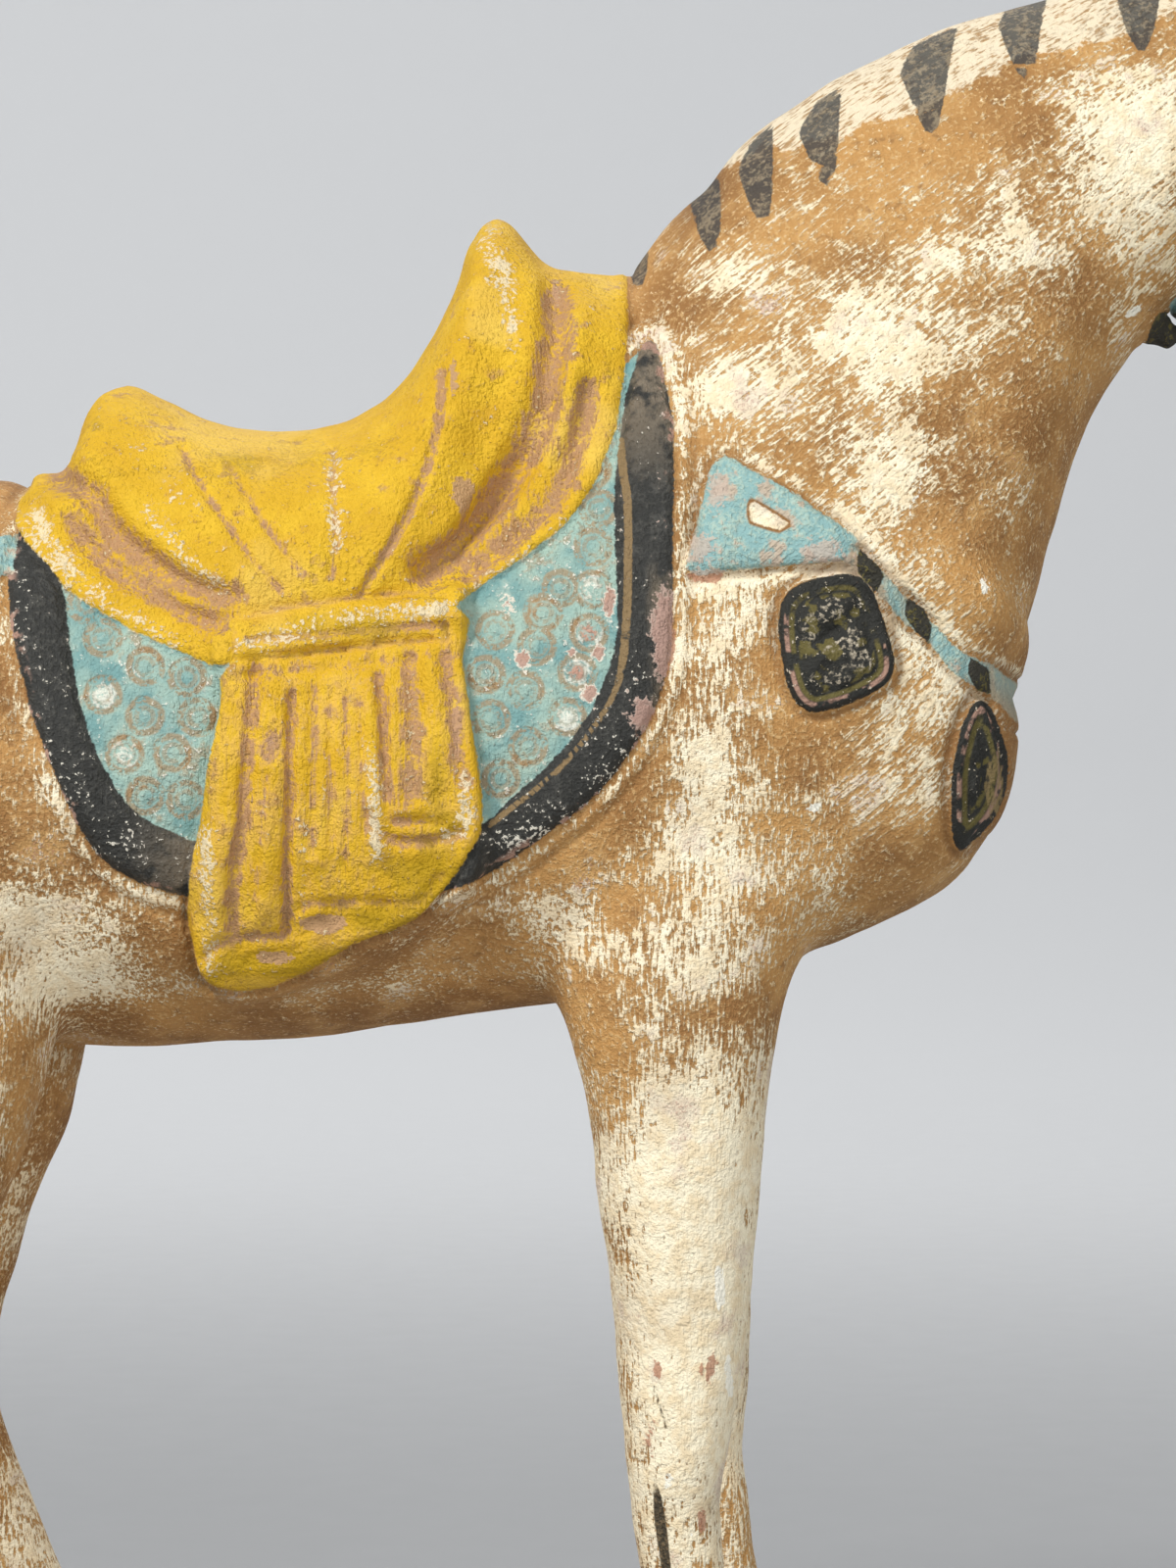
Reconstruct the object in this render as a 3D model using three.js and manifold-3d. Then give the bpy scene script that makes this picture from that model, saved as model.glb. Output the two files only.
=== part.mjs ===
// A terracotta horse figure on a low slab, after old tomb figures.
// It stands square, its neck arched and its head tucked in, with a draped saddle on a bordered blanket,
// a breast strap and a crupper hung with pendants, and a short bound tail.
// +X runs towards the head, +Z is up, and the origin is the centre of the slab's underside.
import * as THREE from "three";
import { mergeVertices } from "three/addons/utils/BufferGeometryUtils.js";
import Module from "manifold-3d";

const wasm = await Module();
wasm.setup();

// Driving dimensions, in millimetres.
const figureHeight = 468; // soles of the hooves to the tips of the ears
const slabThickness = 11;
const slabMargin = 7; // slab left bare around the hooves
const slabCornerRadius = 12;
const slabBevel = 1.5;
const standGap = 0.3; // between the hooves and the slab
const horseTriangles = 9300; // the horse's faceted skin is thinned down to these

// The figure is drawn in units of a 104th of its height.
const unit = figureHeight / 104;

const terracotta = new THREE.MeshStandardMaterial({ color: 0xc9a273, roughness: 0.9, metalness: 0 });
const bareClay = new THREE.MeshStandardMaterial({ color: 0xb98f62, roughness: 0.92, metalness: 0 });

// Lofted forms

// A station of a loft: the two ends of its section as [x, z], the half width across it, and pear,
// which is 1 for an ellipse and more where the section is widest near its lower end.
const station = (top, bottom, half, pear = 1) => [...top, ...bottom, half, pear];

// Rump to poll: back line and crest above, belly, breast and throat below.
const bodyStations = [
  station([-38.9, 63.5], [-38.9, 58.5], 2.2),
  station([-38.2, 67.4], [-37.6, 53.4], 7.2),
  station([-35.6, 70.8], [-35.0, 48.6], 10.8),
  station([-31.0, 73.0], [-30.5, 46.0], 12.9),
  station([-25.0, 73.6], [-24.5, 45.4], 13.6),
  station([-17.0, 72.8], [-17.0, 44.6], 13.0),
  station([-8.0, 71.8], [-8.0, 44.9], 12.6),
  station([0.0, 73.0], [1.0, 46.2], 12.4, 1.1),
  station([5.0, 78.2], [9.5, 47.4], 12.2, 1.3),
  station([9.0, 83.6], [18.5, 49.6], 11.9, 1.5),
  station([12.2, 88.2], [25.2, 52.8], 11.2, 1.6),
  station([16.8, 92.2], [28.3, 57.8], 10.0, 1.55),
  station([22.0, 95.2], [28.5, 62.8], 8.9, 1.4),
  station([27.2, 97.2], [30.2, 69.6], 7.6, 1.2),
  station([31.8, 98.5], [32.4, 76.2], 6.5, 1.1),
  station([36.0, 99.1], [35.4, 80.8], 5.8, 1.05),
  station([39.4, 98.4], [37.6, 84.0], 5.0),
];

// Poll to lips: forehead and nose above, jaw and chin below.
const headStations = [
  station([38.4, 97.0], [36.6, 85.5], 3.6),
  station([39.6, 99.0], [36.9, 82.6], 5.2, 1.1),
  station([42.6, 98.7], [38.6, 80.2], 6.2, 1.1),
  station([45.8, 96.2], [41.2, 78.6], 6.4),
  station([48.5, 92.2], [44.0, 77.6], 5.9),
  station([50.6, 87.6], [46.6, 76.6], 5.0),
  station([52.4, 83.0], [48.8, 74.6], 4.2),
  station([54.4, 78.6], [50.6, 71.8], 3.9),
  station([56.3, 74.8], [51.8, 69.2], 4.1),
  station([57.3, 71.8], [52.9, 67.0], 3.7),
  station([57.0, 69.8], [54.2, 66.4], 2.4),
  station([56.3, 68.6], [55.2, 67.2], 1.0),
];

// Numbers that change smoothly from one list to the next, perGap lists for each gap.
function smooth(lists, perGap) {
  const at = (i) => lists[Math.min(Math.max(i, 0), lists.length - 1)];
  const between = (a, b, c, d, t) => {
    const slopeIn = (c - a) / 2;
    const slopeOut = (d - b) / 2;
    const t2 = t * t;
    const t3 = t2 * t;
    const ends = (2 * t3 - 3 * t2 + 1) * b + (3 * t2 - 2 * t3) * c;
    return ends + (t3 - 2 * t2 + t) * slopeIn + (t3 - t2) * slopeOut;
  };
  const made = [];
  for (let i = 0; i < lists.length - 1; i++)
    for (let k = 0; k < perGap; k++)
      made.push(at(i).map((b, n) => between(at(i - 1)[n], b, at(i + 1)[n], at(i + 2)[n], k / perGap)));
  made.push(lists[lists.length - 1]);
  return made;
}

// The points around one section, grown outwards by grow units.
function sectionRing([topX, topZ, bottomX, bottomZ, half, pear], around, grow = 0) {
  const top = new THREE.Vector2(topX, topZ);
  const bottom = new THREE.Vector2(bottomX, bottomZ);
  const out = top.clone().sub(bottom).setLength(grow);
  top.add(out);
  bottom.sub(out);
  return Array.from({ length: around }, (_, k) => {
    const angle = (2 * Math.PI * k) / around;
    const share = ((1 - Math.cos(angle)) / 2) ** pear;
    const p = bottom.clone().lerp(top, share);
    return new THREE.Vector3(p.x, (half + grow) * Math.sin(angle), p.y);
  });
}

// A closed solid through rings of points, with a fan over each end.
function loft(rings) {
  const around = rings[0].length;
  const points = rings.flat();
  const faces = [];
  for (let r = 0; r < rings.length - 1; r++)
    for (let k = 0; k < around; k++) {
      const a = r * around + k;
      const b = r * around + ((k + 1) % around);
      faces.push(a, a + around, b, b, a + around, b + around);
    }
  for (const r of [0, rings.length - 1]) {
    const middle = rings[r].reduce((sum, p) => sum.add(p), new THREE.Vector3()).divideScalar(around);
    const hub = points.push(middle) - 1;
    for (let k = 0; k < around; k++) {
      const a = r * around + k;
      const b = r * around + ((k + 1) % around);
      faces.push(...(r === 0 ? [hub, a, b] : [hub, b, a]));
    }
  }
  return asGeometry(points, faces);
}

// Points in units and faces as a geometry in millimetres, facing out.
function asGeometry(points, faces) {
  const placed = points.map((p) => p.clone().multiplyScalar(unit));
  const geometry = new THREE.BufferGeometry().setFromPoints(placed);
  geometry.setIndex(volumeOf(points, faces) < 0 ? faces.slice().reverse() : faces);
  return geometry;
}

function volumeOf(points, faces) {
  let sum = 0;
  for (let i = 0; i < faces.length; i += 3) {
    const [a, b, c] = [0, 1, 2].map((n) => points[faces[i + n]]);
    sum += a.dot(b.clone().cross(c));
  }
  return sum / 6;
}

// Solids that join and cut

function solid(geometry) {
  const bare = geometry.index ? geometry.clone() : geometry;
  for (const name of Object.keys(bare.attributes)) if (name !== "position") bare.deleteAttribute(name);
  const merged = mergeVertices(bare, 1e-3);
  return new wasm.Manifold(
    new wasm.Mesh({
      numProp: 3,
      vertProperties: merged.attributes.position.array,
      triVerts: new Uint32Array(merged.index.array),
    }),
  );
}

function geometryOf(made) {
  const mesh = made.getMesh();
  const geometry = new THREE.BufferGeometry();
  geometry.setAttribute("position", new THREE.BufferAttribute(new Float32Array(mesh.vertProperties), 3));
  geometry.setIndex(new THREE.BufferAttribute(new Uint32Array(mesh.triVerts), 1));
  geometry.computeVertexNormals();
  return geometry;
}

const join = (pieces) => pieces.reduce((whole, piece) => whole.add(piece));

// Fewer triangles

// The squared distance from a plane, as the ten numbers of a quadric, times weight.
function planeQuadric(normal, point, weight) {
  const { x, y, z } = normal;
  const d = -normal.dot(point);
  return [x * x, x * y, x * z, x * d, y * y, y * z, y * d, z * z, z * d, d * d].map((n) => n * weight);
}

function quadricError(q, { x, y, z }) {
  const squares = q[0] * x * x + q[4] * y * y + q[7] * z * z;
  const products = q[1] * x * y + q[2] * x * z + q[5] * y * z;
  return squares + 2 * (products + q[3] * x + q[6] * y + q[8] * z) + q[9];
}

const thinnest = 0.02; // least height of a triangle, in millimetres
const keptTurn = 0.35; // least cosine between a triangle's normals before and after a step
const shortFirst = 1e-4; // how much an edge's length adds to what its loss costs
const passShare = 0.3; // share of the cheapest edges that each pass may take

// The same closed surface with the edges that matter least drawn together, down to target triangles.
function thinned(geometry, target) {
  const spots = geometry.attributes.position;
  const pointAt = (_, i) => new THREE.Vector3().fromBufferAttribute(spots, i);
  const points = Array.from({ length: spots.count }, pointAt);
  const corners = geometry.index;
  const faces = [];
  for (let i = 0; i < corners.count; i += 3) faces.push([0, 1, 2].map((n) => corners.getX(i + n)));
  const around = points.map(() => new Set());
  faces.forEach((face, i) => face.forEach((v) => around[v].add(i)));
  const normalOf = ([a, b, c]) => b.clone().sub(a).cross(c.clone().sub(a));
  const quadrics = points.map(() => new Array(10).fill(0));
  for (const face of faces) {
    const normal = normalOf(face.map((v) => points[v]));
    const area = normal.length() / 2;
    const q = planeQuadric(normal.normalize(), points[face[0]], area);
    for (const v of face) quadrics[v] = quadrics[v].map((n, i) => n + q[i]);
  }

  const neighbours = (v) => new Set([...around[v]].flatMap((i) => faces[i]).filter((w) => w !== v));
  const bestSpot = (a, b) => {
    const q = quadrics[a].map((n, i) => n + quadrics[b][i]);
    const choices = [points[a], points[b], points[a].clone().lerp(points[b], 0.5)];
    const errors = choices.map((p) => quadricError(q, p));
    const best = errors.indexOf(Math.min(...errors));
    return { spot: choices[best], cost: errors[best] + shortFirst * points[a].distanceToSquared(points[b]) };
  };
  // Whether a's triangles, those shared with b left out, keep their facing and some height when a moves.
  const keepsFacing = (a, b, spot) => {
    for (const i of around[a]) {
      if (faces[i].includes(b)) continue;
      const before = normalOf(faces[i].map((v) => points[v]));
      const corners = faces[i].map((v) => (v === a ? spot : points[v]));
      const after = normalOf(corners);
      const longest = Math.max(...corners.map((p, n) => p.distanceTo(corners[(n + 1) % 3])));
      if (after.length() < thinnest * longest) return false;
      if (before.dot(after) < keptTurn * before.length() * after.length()) return false;
    }
    return true;
  };
  // Drawing an edge together keeps the surface closed where its ends have just two neighbours in common.
  const keepsClosed = (a, b) => {
    const others = neighbours(b);
    return [...neighbours(a)].filter((v) => others.has(v)).length === 2;
  };

  let left = faces.length;
  let drawn = 1;
  while (left > target && drawn > 0) {
    const edges = [];
    for (const face of faces)
      if (face)
        face.forEach((a, n) => {
          const b = face[(n + 1) % 3];
          if (a < b) edges.push({ a, b, ...bestSpot(a, b) });
        });
    edges.sort((one, other) => one.cost - other.cost);
    const touched = new Set();
    drawn = 0;
    for (const { a, b, spot } of edges.slice(0, Math.ceil(edges.length * passShare))) {
      if (left <= target) break;
      if (touched.has(a) || touched.has(b)) continue;
      if (!keepsClosed(a, b) || !keepsFacing(a, b, spot) || !keepsFacing(b, a, spot)) continue;
      for (const v of [...neighbours(a), ...neighbours(b)]) touched.add(v);
      points[a] = spot.clone();
      quadrics[a] = quadrics[a].map((n, i) => n + quadrics[b][i]);
      for (const i of [...around[b]]) {
        if (faces[i].includes(a)) {
          for (const v of faces[i]) around[v].delete(i);
          faces[i] = null;
          left -= 1;
        } else {
          faces[i] = faces[i].map((v) => (v === b ? a : v));
          around[a].add(i);
        }
      }
      around[b].clear();
      drawn += 1;
    }
  }
  const kept = points.map((_, v) => v).filter((v) => around[v].size);
  const place = new Map(kept.map((v, i) => [v, i]));
  const made = new THREE.BufferGeometry().setFromPoints(kept.map((v) => points[v]));
  made.setIndex(faces.filter((face) => face).flat().map((v) => place.get(v)));
  made.computeVertexNormals();
  return made;
}

// The solid within the outermost surface, so that a pocket shut in between joined pieces is clay too.
const filled = (made) => made.decompose().reduce((a, b) => (b.volume() > a.volume() ? b : a));

// An ellipsoid at a place in units, turned about Y by tilt.
function ellipsoid(place, radii, tilt = 0) {
  const geometry = new THREE.SphereGeometry(1, 16, 10);
  geometry.scale(...radii.map((r) => r * unit));
  geometry.rotateY(tilt);
  geometry.translate(...place.map((p) => p * unit));
  return solid(geometry);
}

// Trunk, neck and head

const roundSides = 12; // sides of the ears and the tail
const bodyAround = 40;
const headAround = 28;
const bodySections = smooth(bodyStations, 3);
const headSections = smooth(headStations, 2);
const bodyLoft = loft(bodySections.map((s) => sectionRing(s, bodyAround)));
const headLoft = loft(headSections.map((s) => sectionRing(s, headAround)));

// Legs

// A level section of a leg: height, the x of its front and back, its middle's y and its half width.
const level = (z, front, back, y, half) => [z, front, back, y, half];

const foreLevels = [
  level(63, 21.0, 4.5, 5.6, 4.6),
  level(57, 20.6, 4.6, 6.1, 5.2),
  level(52, 18.9, 5.0, 6.6, 5.1),
  level(48.0, 17.0, 5.3, 7.0, 4.9),
  level(43.5, 16.1, 6.5, 7.2, 4.5),
  level(38.9, 15.5, 7.4, 7.4, 3.9),
  level(34.1, 15.1, 7.95, 7.6, 3.4),
  level(29.6, 14.6, 8.4, 7.7, 3.0),
  level(26.9, 14.15, 8.7, 7.8, 2.85),
  level(24.5, 13.75, 8.9, 7.9, 2.7),
  level(21.5, 13.55, 9.15, 8.0, 2.1),
  level(18.0, 13.7, 9.6, 8.0, 1.9),
  level(13.5, 13.95, 9.9, 8.1, 1.85),
  level(10.2, 14.8, 9.5, 8.1, 2.4),
  level(7.6, 15.1, 10.4, 8.2, 2.1),
  level(5.4, 16.6, 10.8, 8.2, 2.7),
  level(4.6, 17.4, 10.5, 8.2, 3.1),
  level(0, 19.0, 10.0, 8.2, 3.9),
];

const hindLevels = [
  level(64, -22.6, -36.6, 6.2, 4.9),
  level(59, -21.0, -38.0, 6.8, 5.8),
  level(54, -19.8, -38.6, 7.1, 6.3),
  level(49.0, -19.4, -38.0, 7.3, 6.3),
  level(44.6, -19.2, -36.2, 7.2, 5.7),
  level(40.6, -20.2, -33.9, 7.4, 4.7),
  level(36.4, -22.1, -32.3, 7.6, 3.8),
  level(32.6, -23.4, -31.7, 7.8, 3.2),
  level(30.0, -24.2, -31.5, 7.9, 2.9),
  level(27.0, -24.4, -30.4, 8.0, 2.5),
  level(23.0, -23.7, -28.6, 8.1, 2.0),
  level(18.2, -21.7, -26.4, 8.1, 1.85),
  level(13.5, -19.7, -24.4, 8.1, 1.95),
  level(10.6, -17.9, -24.0, 8.2, 2.5),
  level(8.0, -17.1, -22.4, 8.2, 2.2),
  level(5.4, -15.7, -22.0, 8.2, 2.8),
  level(4.6, -15.0, -22.2, 8.2, 3.2),
  level(0, -13.4, -22.7, 8.2, 4.0),
];

const legAround = 18;
const leftStrideUnits = 3.6; // how far the left forefoot stands ahead of the right one
const strideTop = 42; // height where that stride begins

// side is 1 for the left leg and -1 for the right one; stride leans the leg forward below strideTop.
function leg(levels, side, stride = 0) {
  const rings = smooth(levels, 2).map(([z, front, back, y, half]) => {
    const lean = stride * Math.max(0, 1 - z / strideTop);
    return Array.from({ length: legAround }, (_, k) => {
      const angle = (2 * Math.PI * k) / legAround;
      const x = (front + back) / 2 + lean + ((front - back) / 2) * Math.cos(angle);
      return new THREE.Vector3(x, side * y + half * Math.sin(angle), z);
    });
  });
  return solid(loft(rings));
}

const hoofReach = Math.max(foreLevels.at(-1)[1] + leftStrideUnits, -hindLevels.at(-1)[2]) * unit;
const hoofSpread = (hindLevels.at(-1)[3] + hindLevels.at(-1)[4]) * unit;

// Reliefs laid on the body like slips of clay

const caster = new THREE.Raycaster();

// A function that finds the skin of a loft, and the way out of it, from a point inside along a direction.
function skinOf(geometry) {
  const shown = geometry.clone();
  shown.computeVertexNormals();
  const mesh = new THREE.Mesh(shown, new THREE.MeshBasicMaterial({ side: THREE.DoubleSide }));
  return (from, direction) => {
    caster.set(from.clone().multiplyScalar(unit), direction.clone().normalize());
    const [hit] = caster.intersectObject(mesh);
    if (!hit) throw new Error(`no skin at ${from.x.toFixed(1)}, ${from.z.toFixed(1)}`);
    // The normal of a hit faces back along the ray.
    return { point: hit.point.divideScalar(unit), out: hit.normal.clone().normalize().negate() };
  };
}

const bodySkin = skinOf(bodyLoft);
const headSkin = skinOf(headLoft);
const onFlank = (x, z, side) => bodySkin(new THREE.Vector3(x, 0, z), new THREE.Vector3(0, side, 0));
const onCheek = (x, z, side) => headSkin(new THREE.Vector3(x, 0, z), new THREE.Vector3(0, side, 0));

const breastAxis = 17; // x of the upright axis that the breast is wrapped around
const breastRadius = 11;
// turn is 0 straight ahead and a quarter turn on the flank.
function onBreast(turn, z, side) {
  const direction = new THREE.Vector3(Math.cos(turn), side * Math.sin(turn), 0);
  return bodySkin(new THREE.Vector3(breastAxis, 0, z), direction);
}

const sunk = 1.2; // how deep a relief's back lies under the skin

// A relief with columns by rows of quads. place(u, v) gives its spot on the skin, and rise(u, v) its
// height there.
function relief(columns, rows, place, rise) {
  const points = [];
  const index = (layer, i, j) => (layer * (columns + 1) + i) * (rows + 1) + j;
  for (const layer of [0, 1])
    for (let i = 0; i <= columns; i++)
      for (let j = 0; j <= rows; j++) {
        const { point, out } = place(i / columns, j / rows);
        points.push(point.clone().addScaledVector(out, layer ? -sunk : rise(i / columns, j / rows)));
      }
  const faces = [];
  const quad = (a, b, c, d) => faces.push(a, b, c, a, c, d);
  for (let i = 0; i < columns; i++)
    for (let j = 0; j < rows; j++) {
      quad(index(0, i, j), index(0, i + 1, j), index(0, i + 1, j + 1), index(0, i, j + 1));
      quad(index(1, i, j + 1), index(1, i + 1, j + 1), index(1, i + 1, j), index(1, i, j));
    }
  for (let i = 0; i < columns; i++) {
    quad(index(0, i, 0), index(1, i, 0), index(1, i + 1, 0), index(0, i + 1, 0));
    quad(index(0, i + 1, rows), index(1, i + 1, rows), index(1, i, rows), index(0, i, rows));
  }
  for (let j = 0; j < rows; j++) {
    quad(index(0, 0, j + 1), index(1, 0, j + 1), index(1, 0, j), index(0, 0, j));
    quad(index(0, columns, j), index(1, columns, j), index(1, columns, j + 1), index(0, columns, j + 1));
  }
  return solid(asGeometry(points, faces));
}

// A point a share of the way along a smooth line through [x, z] points.
function along(line) {
  const points = line.map(([x, z]) => new THREE.Vector3(x, 0, z));
  const curve = new THREE.CatmullRomCurve3(points, false, "centripetal");
  curve.arcLengthDivisions = 60;
  return (share) => {
    const p = curve.getPointAt(Math.min(Math.max(share, 0), 1));
    return [p.x, p.z];
  };
}

// A place between two lines: u runs along both and v from the first to the second.
function between(first, second) {
  const [a, b] = [along(first), along(second)];
  return (u, v) => {
    const [[ax, az], [bx, bz]] = [a(u), b(u)];
    return [ax + (bx - ax) * v, az + (bz - az) * v];
  };
}

const swell = (share) => Math.sqrt(Math.max(0, 1 - (2 * share - 1) ** 2)); // 0 at both ends, 1 halfway

// The rise of a rounded band: full along its middle and about half at its edges.
const rolled = (rise) => (u, v) => rise * (0.55 + 0.45 * swell(v));

// Saddle blanket

const blanketRise = 0.34;
const borderRise = 0.62;
// The border's outer and inner edges, from the withers down, under the belly and up behind the saddle.
const borderOuter = [
  [9.9, 79.8], [11.3, 75.0], [11.4, 70.2], [11.0, 65.2], [9.4, 60.3], [5.1, 55.7], [0.5, 53.1],
  [-6.0, 51.9], [-12.4, 52.5], [-17.0, 55.4], [-19.7, 61.6], [-20.8, 67.0], [-20.4, 70.4],
];
const borderInner = [
  [9.3, 79.2], [8.7, 75.0], [8.5, 70.2], [8.2, 65.6], [7.0, 61.6], [4.1, 58.2], [0.5, 56.1],
  [-6.0, 55.0], [-11.8, 55.4], [-14.9, 57.4], [-17.2, 61.8], [-18.2, 67.0], [-19.6, 70.4],
];
// The blanket's top edge, which the saddle covers.
const blanketTop = [
  [7.9, 80.2], [5.0, 75.4], [1.6, 72.0], [-4.0, 70.0], [-10.0, 69.6], [-14.6, 70.2], [-18.4, 71.2],
];

function blanket(side) {
  const border = between(borderOuter, borderInner);
  const top = along(blanketTop);
  // The field's outer edge runs under the middle of the border.
  const field = (u, v) => {
    const [[ax, az], [bx, bz]] = [border(u, 0.5), top(u)];
    return [ax + (bx - ax) * v, az + (bz - az) * v];
  };
  return [
    relief(36, 4, (u, v) => onFlank(...border(u, v), side), rolled(borderRise)),
    relief(24, 6, (u, v) => onFlank(...field(u, v), side), () => blanketRise),
  ];
}

// Saddle under its draped cover

// A section of the seat: x, its ridge's height, the half width there and how far down its sides reach.
const seat = (x, ridge, half, foot) => station([x, ridge], [x, foot], half, 0.8);
const seatStations = [
  seat(-22.0, 72.6, 4.0, 66.0),
  seat(-20.6, 73.7, 8.6, 63.0),
  seat(-18.8, 74.5, 10.2, 60.0),
  seat(-18.1, 76.4, 9.8, 58.0),
  seat(-17.0, 78.2, 9.6, 57.0),
  seat(-15.4, 78.0, 10.2, 56.0),
  seat(-12.6, 76.6, 11.4, 55.0),
  seat(-9.0, 75.9, 12.0, 55.0),
  seat(-5.0, 76.5, 12.0, 55.0),
  seat(-2.0, 78.8, 11.4, 56.0),
  seat(0.3, 83.2, 10.2, 57.0),
  seat(1.7, 86.6, 9.0, 58.0),
  seat(3.2, 86.0, 8.6, 60.0),
  seat(4.9, 84.3, 8.8, 62.0),
  seat(6.8, 84.0, 8.6, 64.0),
  seat(9.2, 83.8, 7.2, 67.0),
];
const saddleSeat = () => solid(loft(smooth(seatStations, 2).map((s) => sectionRing(s, 36))));

const coverRise = 0.75;
// The cover's lower edge, front to back, drawn in to the knot at the middle.
const coverEdge = [
  [9.0, 83.0], [9.0, 78.7], [8.5, 75.4], [6.9, 72.0], [4.5, 69.2], [1.0, 66.8],
  [-4.5, 65.2], [-10.4, 64.0], [-13.0, 64.5], [-16.0, 65.9], [-19.0, 67.8], [-21.2, 70.4],
];
const coverRidge = [
  [7.4, 80.0], [5.6, 76.8], [3.0, 74.2], [0.0, 71.8], [-3.0, 70.6], [-6.0, 70.0],
  [-9.0, 69.8], [-11.0, 69.8], [-13.0, 70.0], [-15.0, 70.4], [-17.5, 71.0], [-19.6, 71.4],
];

function cover(side) {
  const edge = between(coverEdge, coverRidge);
  const folds = (u, v) => 0.14 * Math.sin(v * 2.5 * Math.PI) * Math.abs(2 * u - 1);
  const rise = (u, v) => coverRise * (v === 0 ? 0.8 : 1) + folds(u, v);
  return relief(24, 6, (u, v) => onFlank(...edge(u, v), side), rise);
}

// The pleated fall below the knot, from its front edge to its back edge.
const fallRise = 1.25;
const hemRise = 1.9; // the fall hangs free of the belly towards its hem
const fallFront = [[1.0, 66.4], [1.3, 62.4], [1.9, 58.8], [2.3, 56.2], [1.9, 53.8], [0.4, 51.8]];
const fallBack = [[-10.6, 64.2], [-10.9, 59.0], [-11.5, 54.6], [-12.1, 51.8], [-12.1, 49.4], [-11.0, 47.6]];
const pleats = 6;

function fall(side) {
  const strip = between(fallFront, fallBack);
  const rise = (u, v) => {
    const pleat = 0.24 * Math.cos(2 * Math.PI * pleats * v) * swell(u * 0.9 + 0.05);
    const full = fallRise + (hemRise - fallRise) * u * u;
    return full * (u === 1 || v === 0 || v === 1 ? 0.6 : 1) - pleat;
  };
  // Rows run down the fall, and the last of them bow into its rounded hem.
  const place = (u, v) => {
    const [x, z] = strip(u, v);
    return onFlank(x, z - 0.8 * u * u * swell(v), side);
  };
  return relief(8, 6 * pleats, place, rise);
}

const bandRise = 1.75;
const bandUpper = [[1.3, 67.2], [-4.6, 66.4], [-10.9, 65.6]];
const bandLower = [[1.2, 64.8], [-4.6, 63.9], [-11.0, 62.7]];

function band(side) {
  const strip = between(bandUpper, bandLower);
  return relief(8, 4, (u, v) => onFlank(...strip(u, v), side), rolled(bandRise));
}

// Breast strap and crupper

const strapRise = 0.42;
const quarter = Math.PI / 2;
const triangleTop = [[13.6, 73.9], [16.4, 72.4], [19.4, 70.4]];
const triangleFoot = [[11.9, 68.3], [15.6, 68.5], [19.6, 68.7]];

function breastStrap(side) {
  const triangle = between(triangleTop, triangleFoot);
  const from = 0.86 * quarter; // where the band leaves the triangle
  const heights = along([[0, 69.6], [0.3, 66.9], [0.6, 64.8], [1, 62.6]]);
  const half = 1.15;
  const place = (u, v) => onBreast(from * (1 - u) - 0.02 * u, heights(u)[1] + half * (1 - 2 * v), side);
  return [
    relief(4, 2, (u, v) => onFlank(...triangle(u, v), side), () => strapRise * 1.3),
    relief(16, 2, place, () => strapRise),
  ];
}

// A rounded square boss hung on the skin: spot(s, t) gives the place for s and t from -1 to 1.
function pendant(spot, rise) {
  const cells = 8;
  const round = (u, v) => {
    const [s, t] = [2 * u - 1, 2 * v - 1];
    return [s * Math.sqrt(1 - 0.32 * t * t), t * Math.sqrt(1 - 0.32 * s * s)];
  };
  const height = (u, v) => rise * (0.55 + 0.45 * Math.sqrt(swell(u) * swell(v)));
  return relief(cells, cells, (u, v) => spot(...round(u, v)), height);
}

const pendantHalf = [2.8, 3.5];
const pendantRise = 0.8;
const flankPendantAt = [19.1, 64.7];
const breastPendantAt = [0.40 * quarter, 58.6];

function breastPendants(side) {
  const [halfWidth, halfHeight] = pendantHalf;
  const [x, flankZ] = flankPendantAt;
  const [turn, breastZ] = breastPendantAt;
  const onTurn = (s, t) => onBreast(turn - (s * halfWidth) / breastRadius, breastZ + t * halfHeight, side);
  return [
    pendant((s, t) => onFlank(x + s * halfWidth, flankZ + t * halfHeight, side), pendantRise),
    pendant(onTurn, pendantRise),
  ];
}

const crupperTop = [[-20.8, 70.2], [-26.0, 69.2], [-31.0, 67.8], [-35.6, 66.4]];
const crupperFoot = [[-20.8, 68.2], [-26.0, 67.0], [-31.0, 65.6], [-35.6, 64.4]];
const crupperPendantAt = [-27.0, 62.9];
const crupperPendantShare = 0.9; // its size against the breast pendants'

function crupper(side) {
  const strip = between(crupperTop, crupperFoot);
  const [x, z] = crupperPendantAt;
  const [halfWidth, halfHeight] = pendantHalf.map((half) => half * crupperPendantShare);
  return [
    relief(10, 2, (u, v) => onFlank(...strip(u, v), side), () => strapRise),
    pendant((s, t) => onFlank(x + s * halfWidth, z + t * halfHeight, side), pendantRise),
  ];
}

// Head details

// An ear: a narrow leaf cupped forwards, from its root on the poll.
function ear(side) {
  const height = 6.6;
  const steps = 7;
  const rings = Array.from({ length: steps + 1 }, (_, i) => {
    const t = i / steps;
    const width = 1.55 * Math.sqrt(Math.max(0.004, Math.sin(Math.PI * (0.22 + 0.78 * t))));
    return Array.from({ length: roundSides }, (_, k) => {
      const angle = (2 * Math.PI * k) / roundSides;
      const cup = 0.35 * Math.cos(2 * angle) * (1 - t);
      return new THREE.Vector3(
        41.4 + 0.9 * t + (0.75 * width + cup) * Math.cos(angle),
        side * (3.2 + 0.9 * t) + width * 0.8 * Math.sin(angle),
        97.2 + height * t,
      );
    });
  });
  return solid(loft(rings));
}

// The forelock, a tuft laid down the forehead from between the ears.
const forelock = () => ellipsoid([44.9, 0, 96.8], [4.4, 1.8, 1.3], 0.83);

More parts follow.
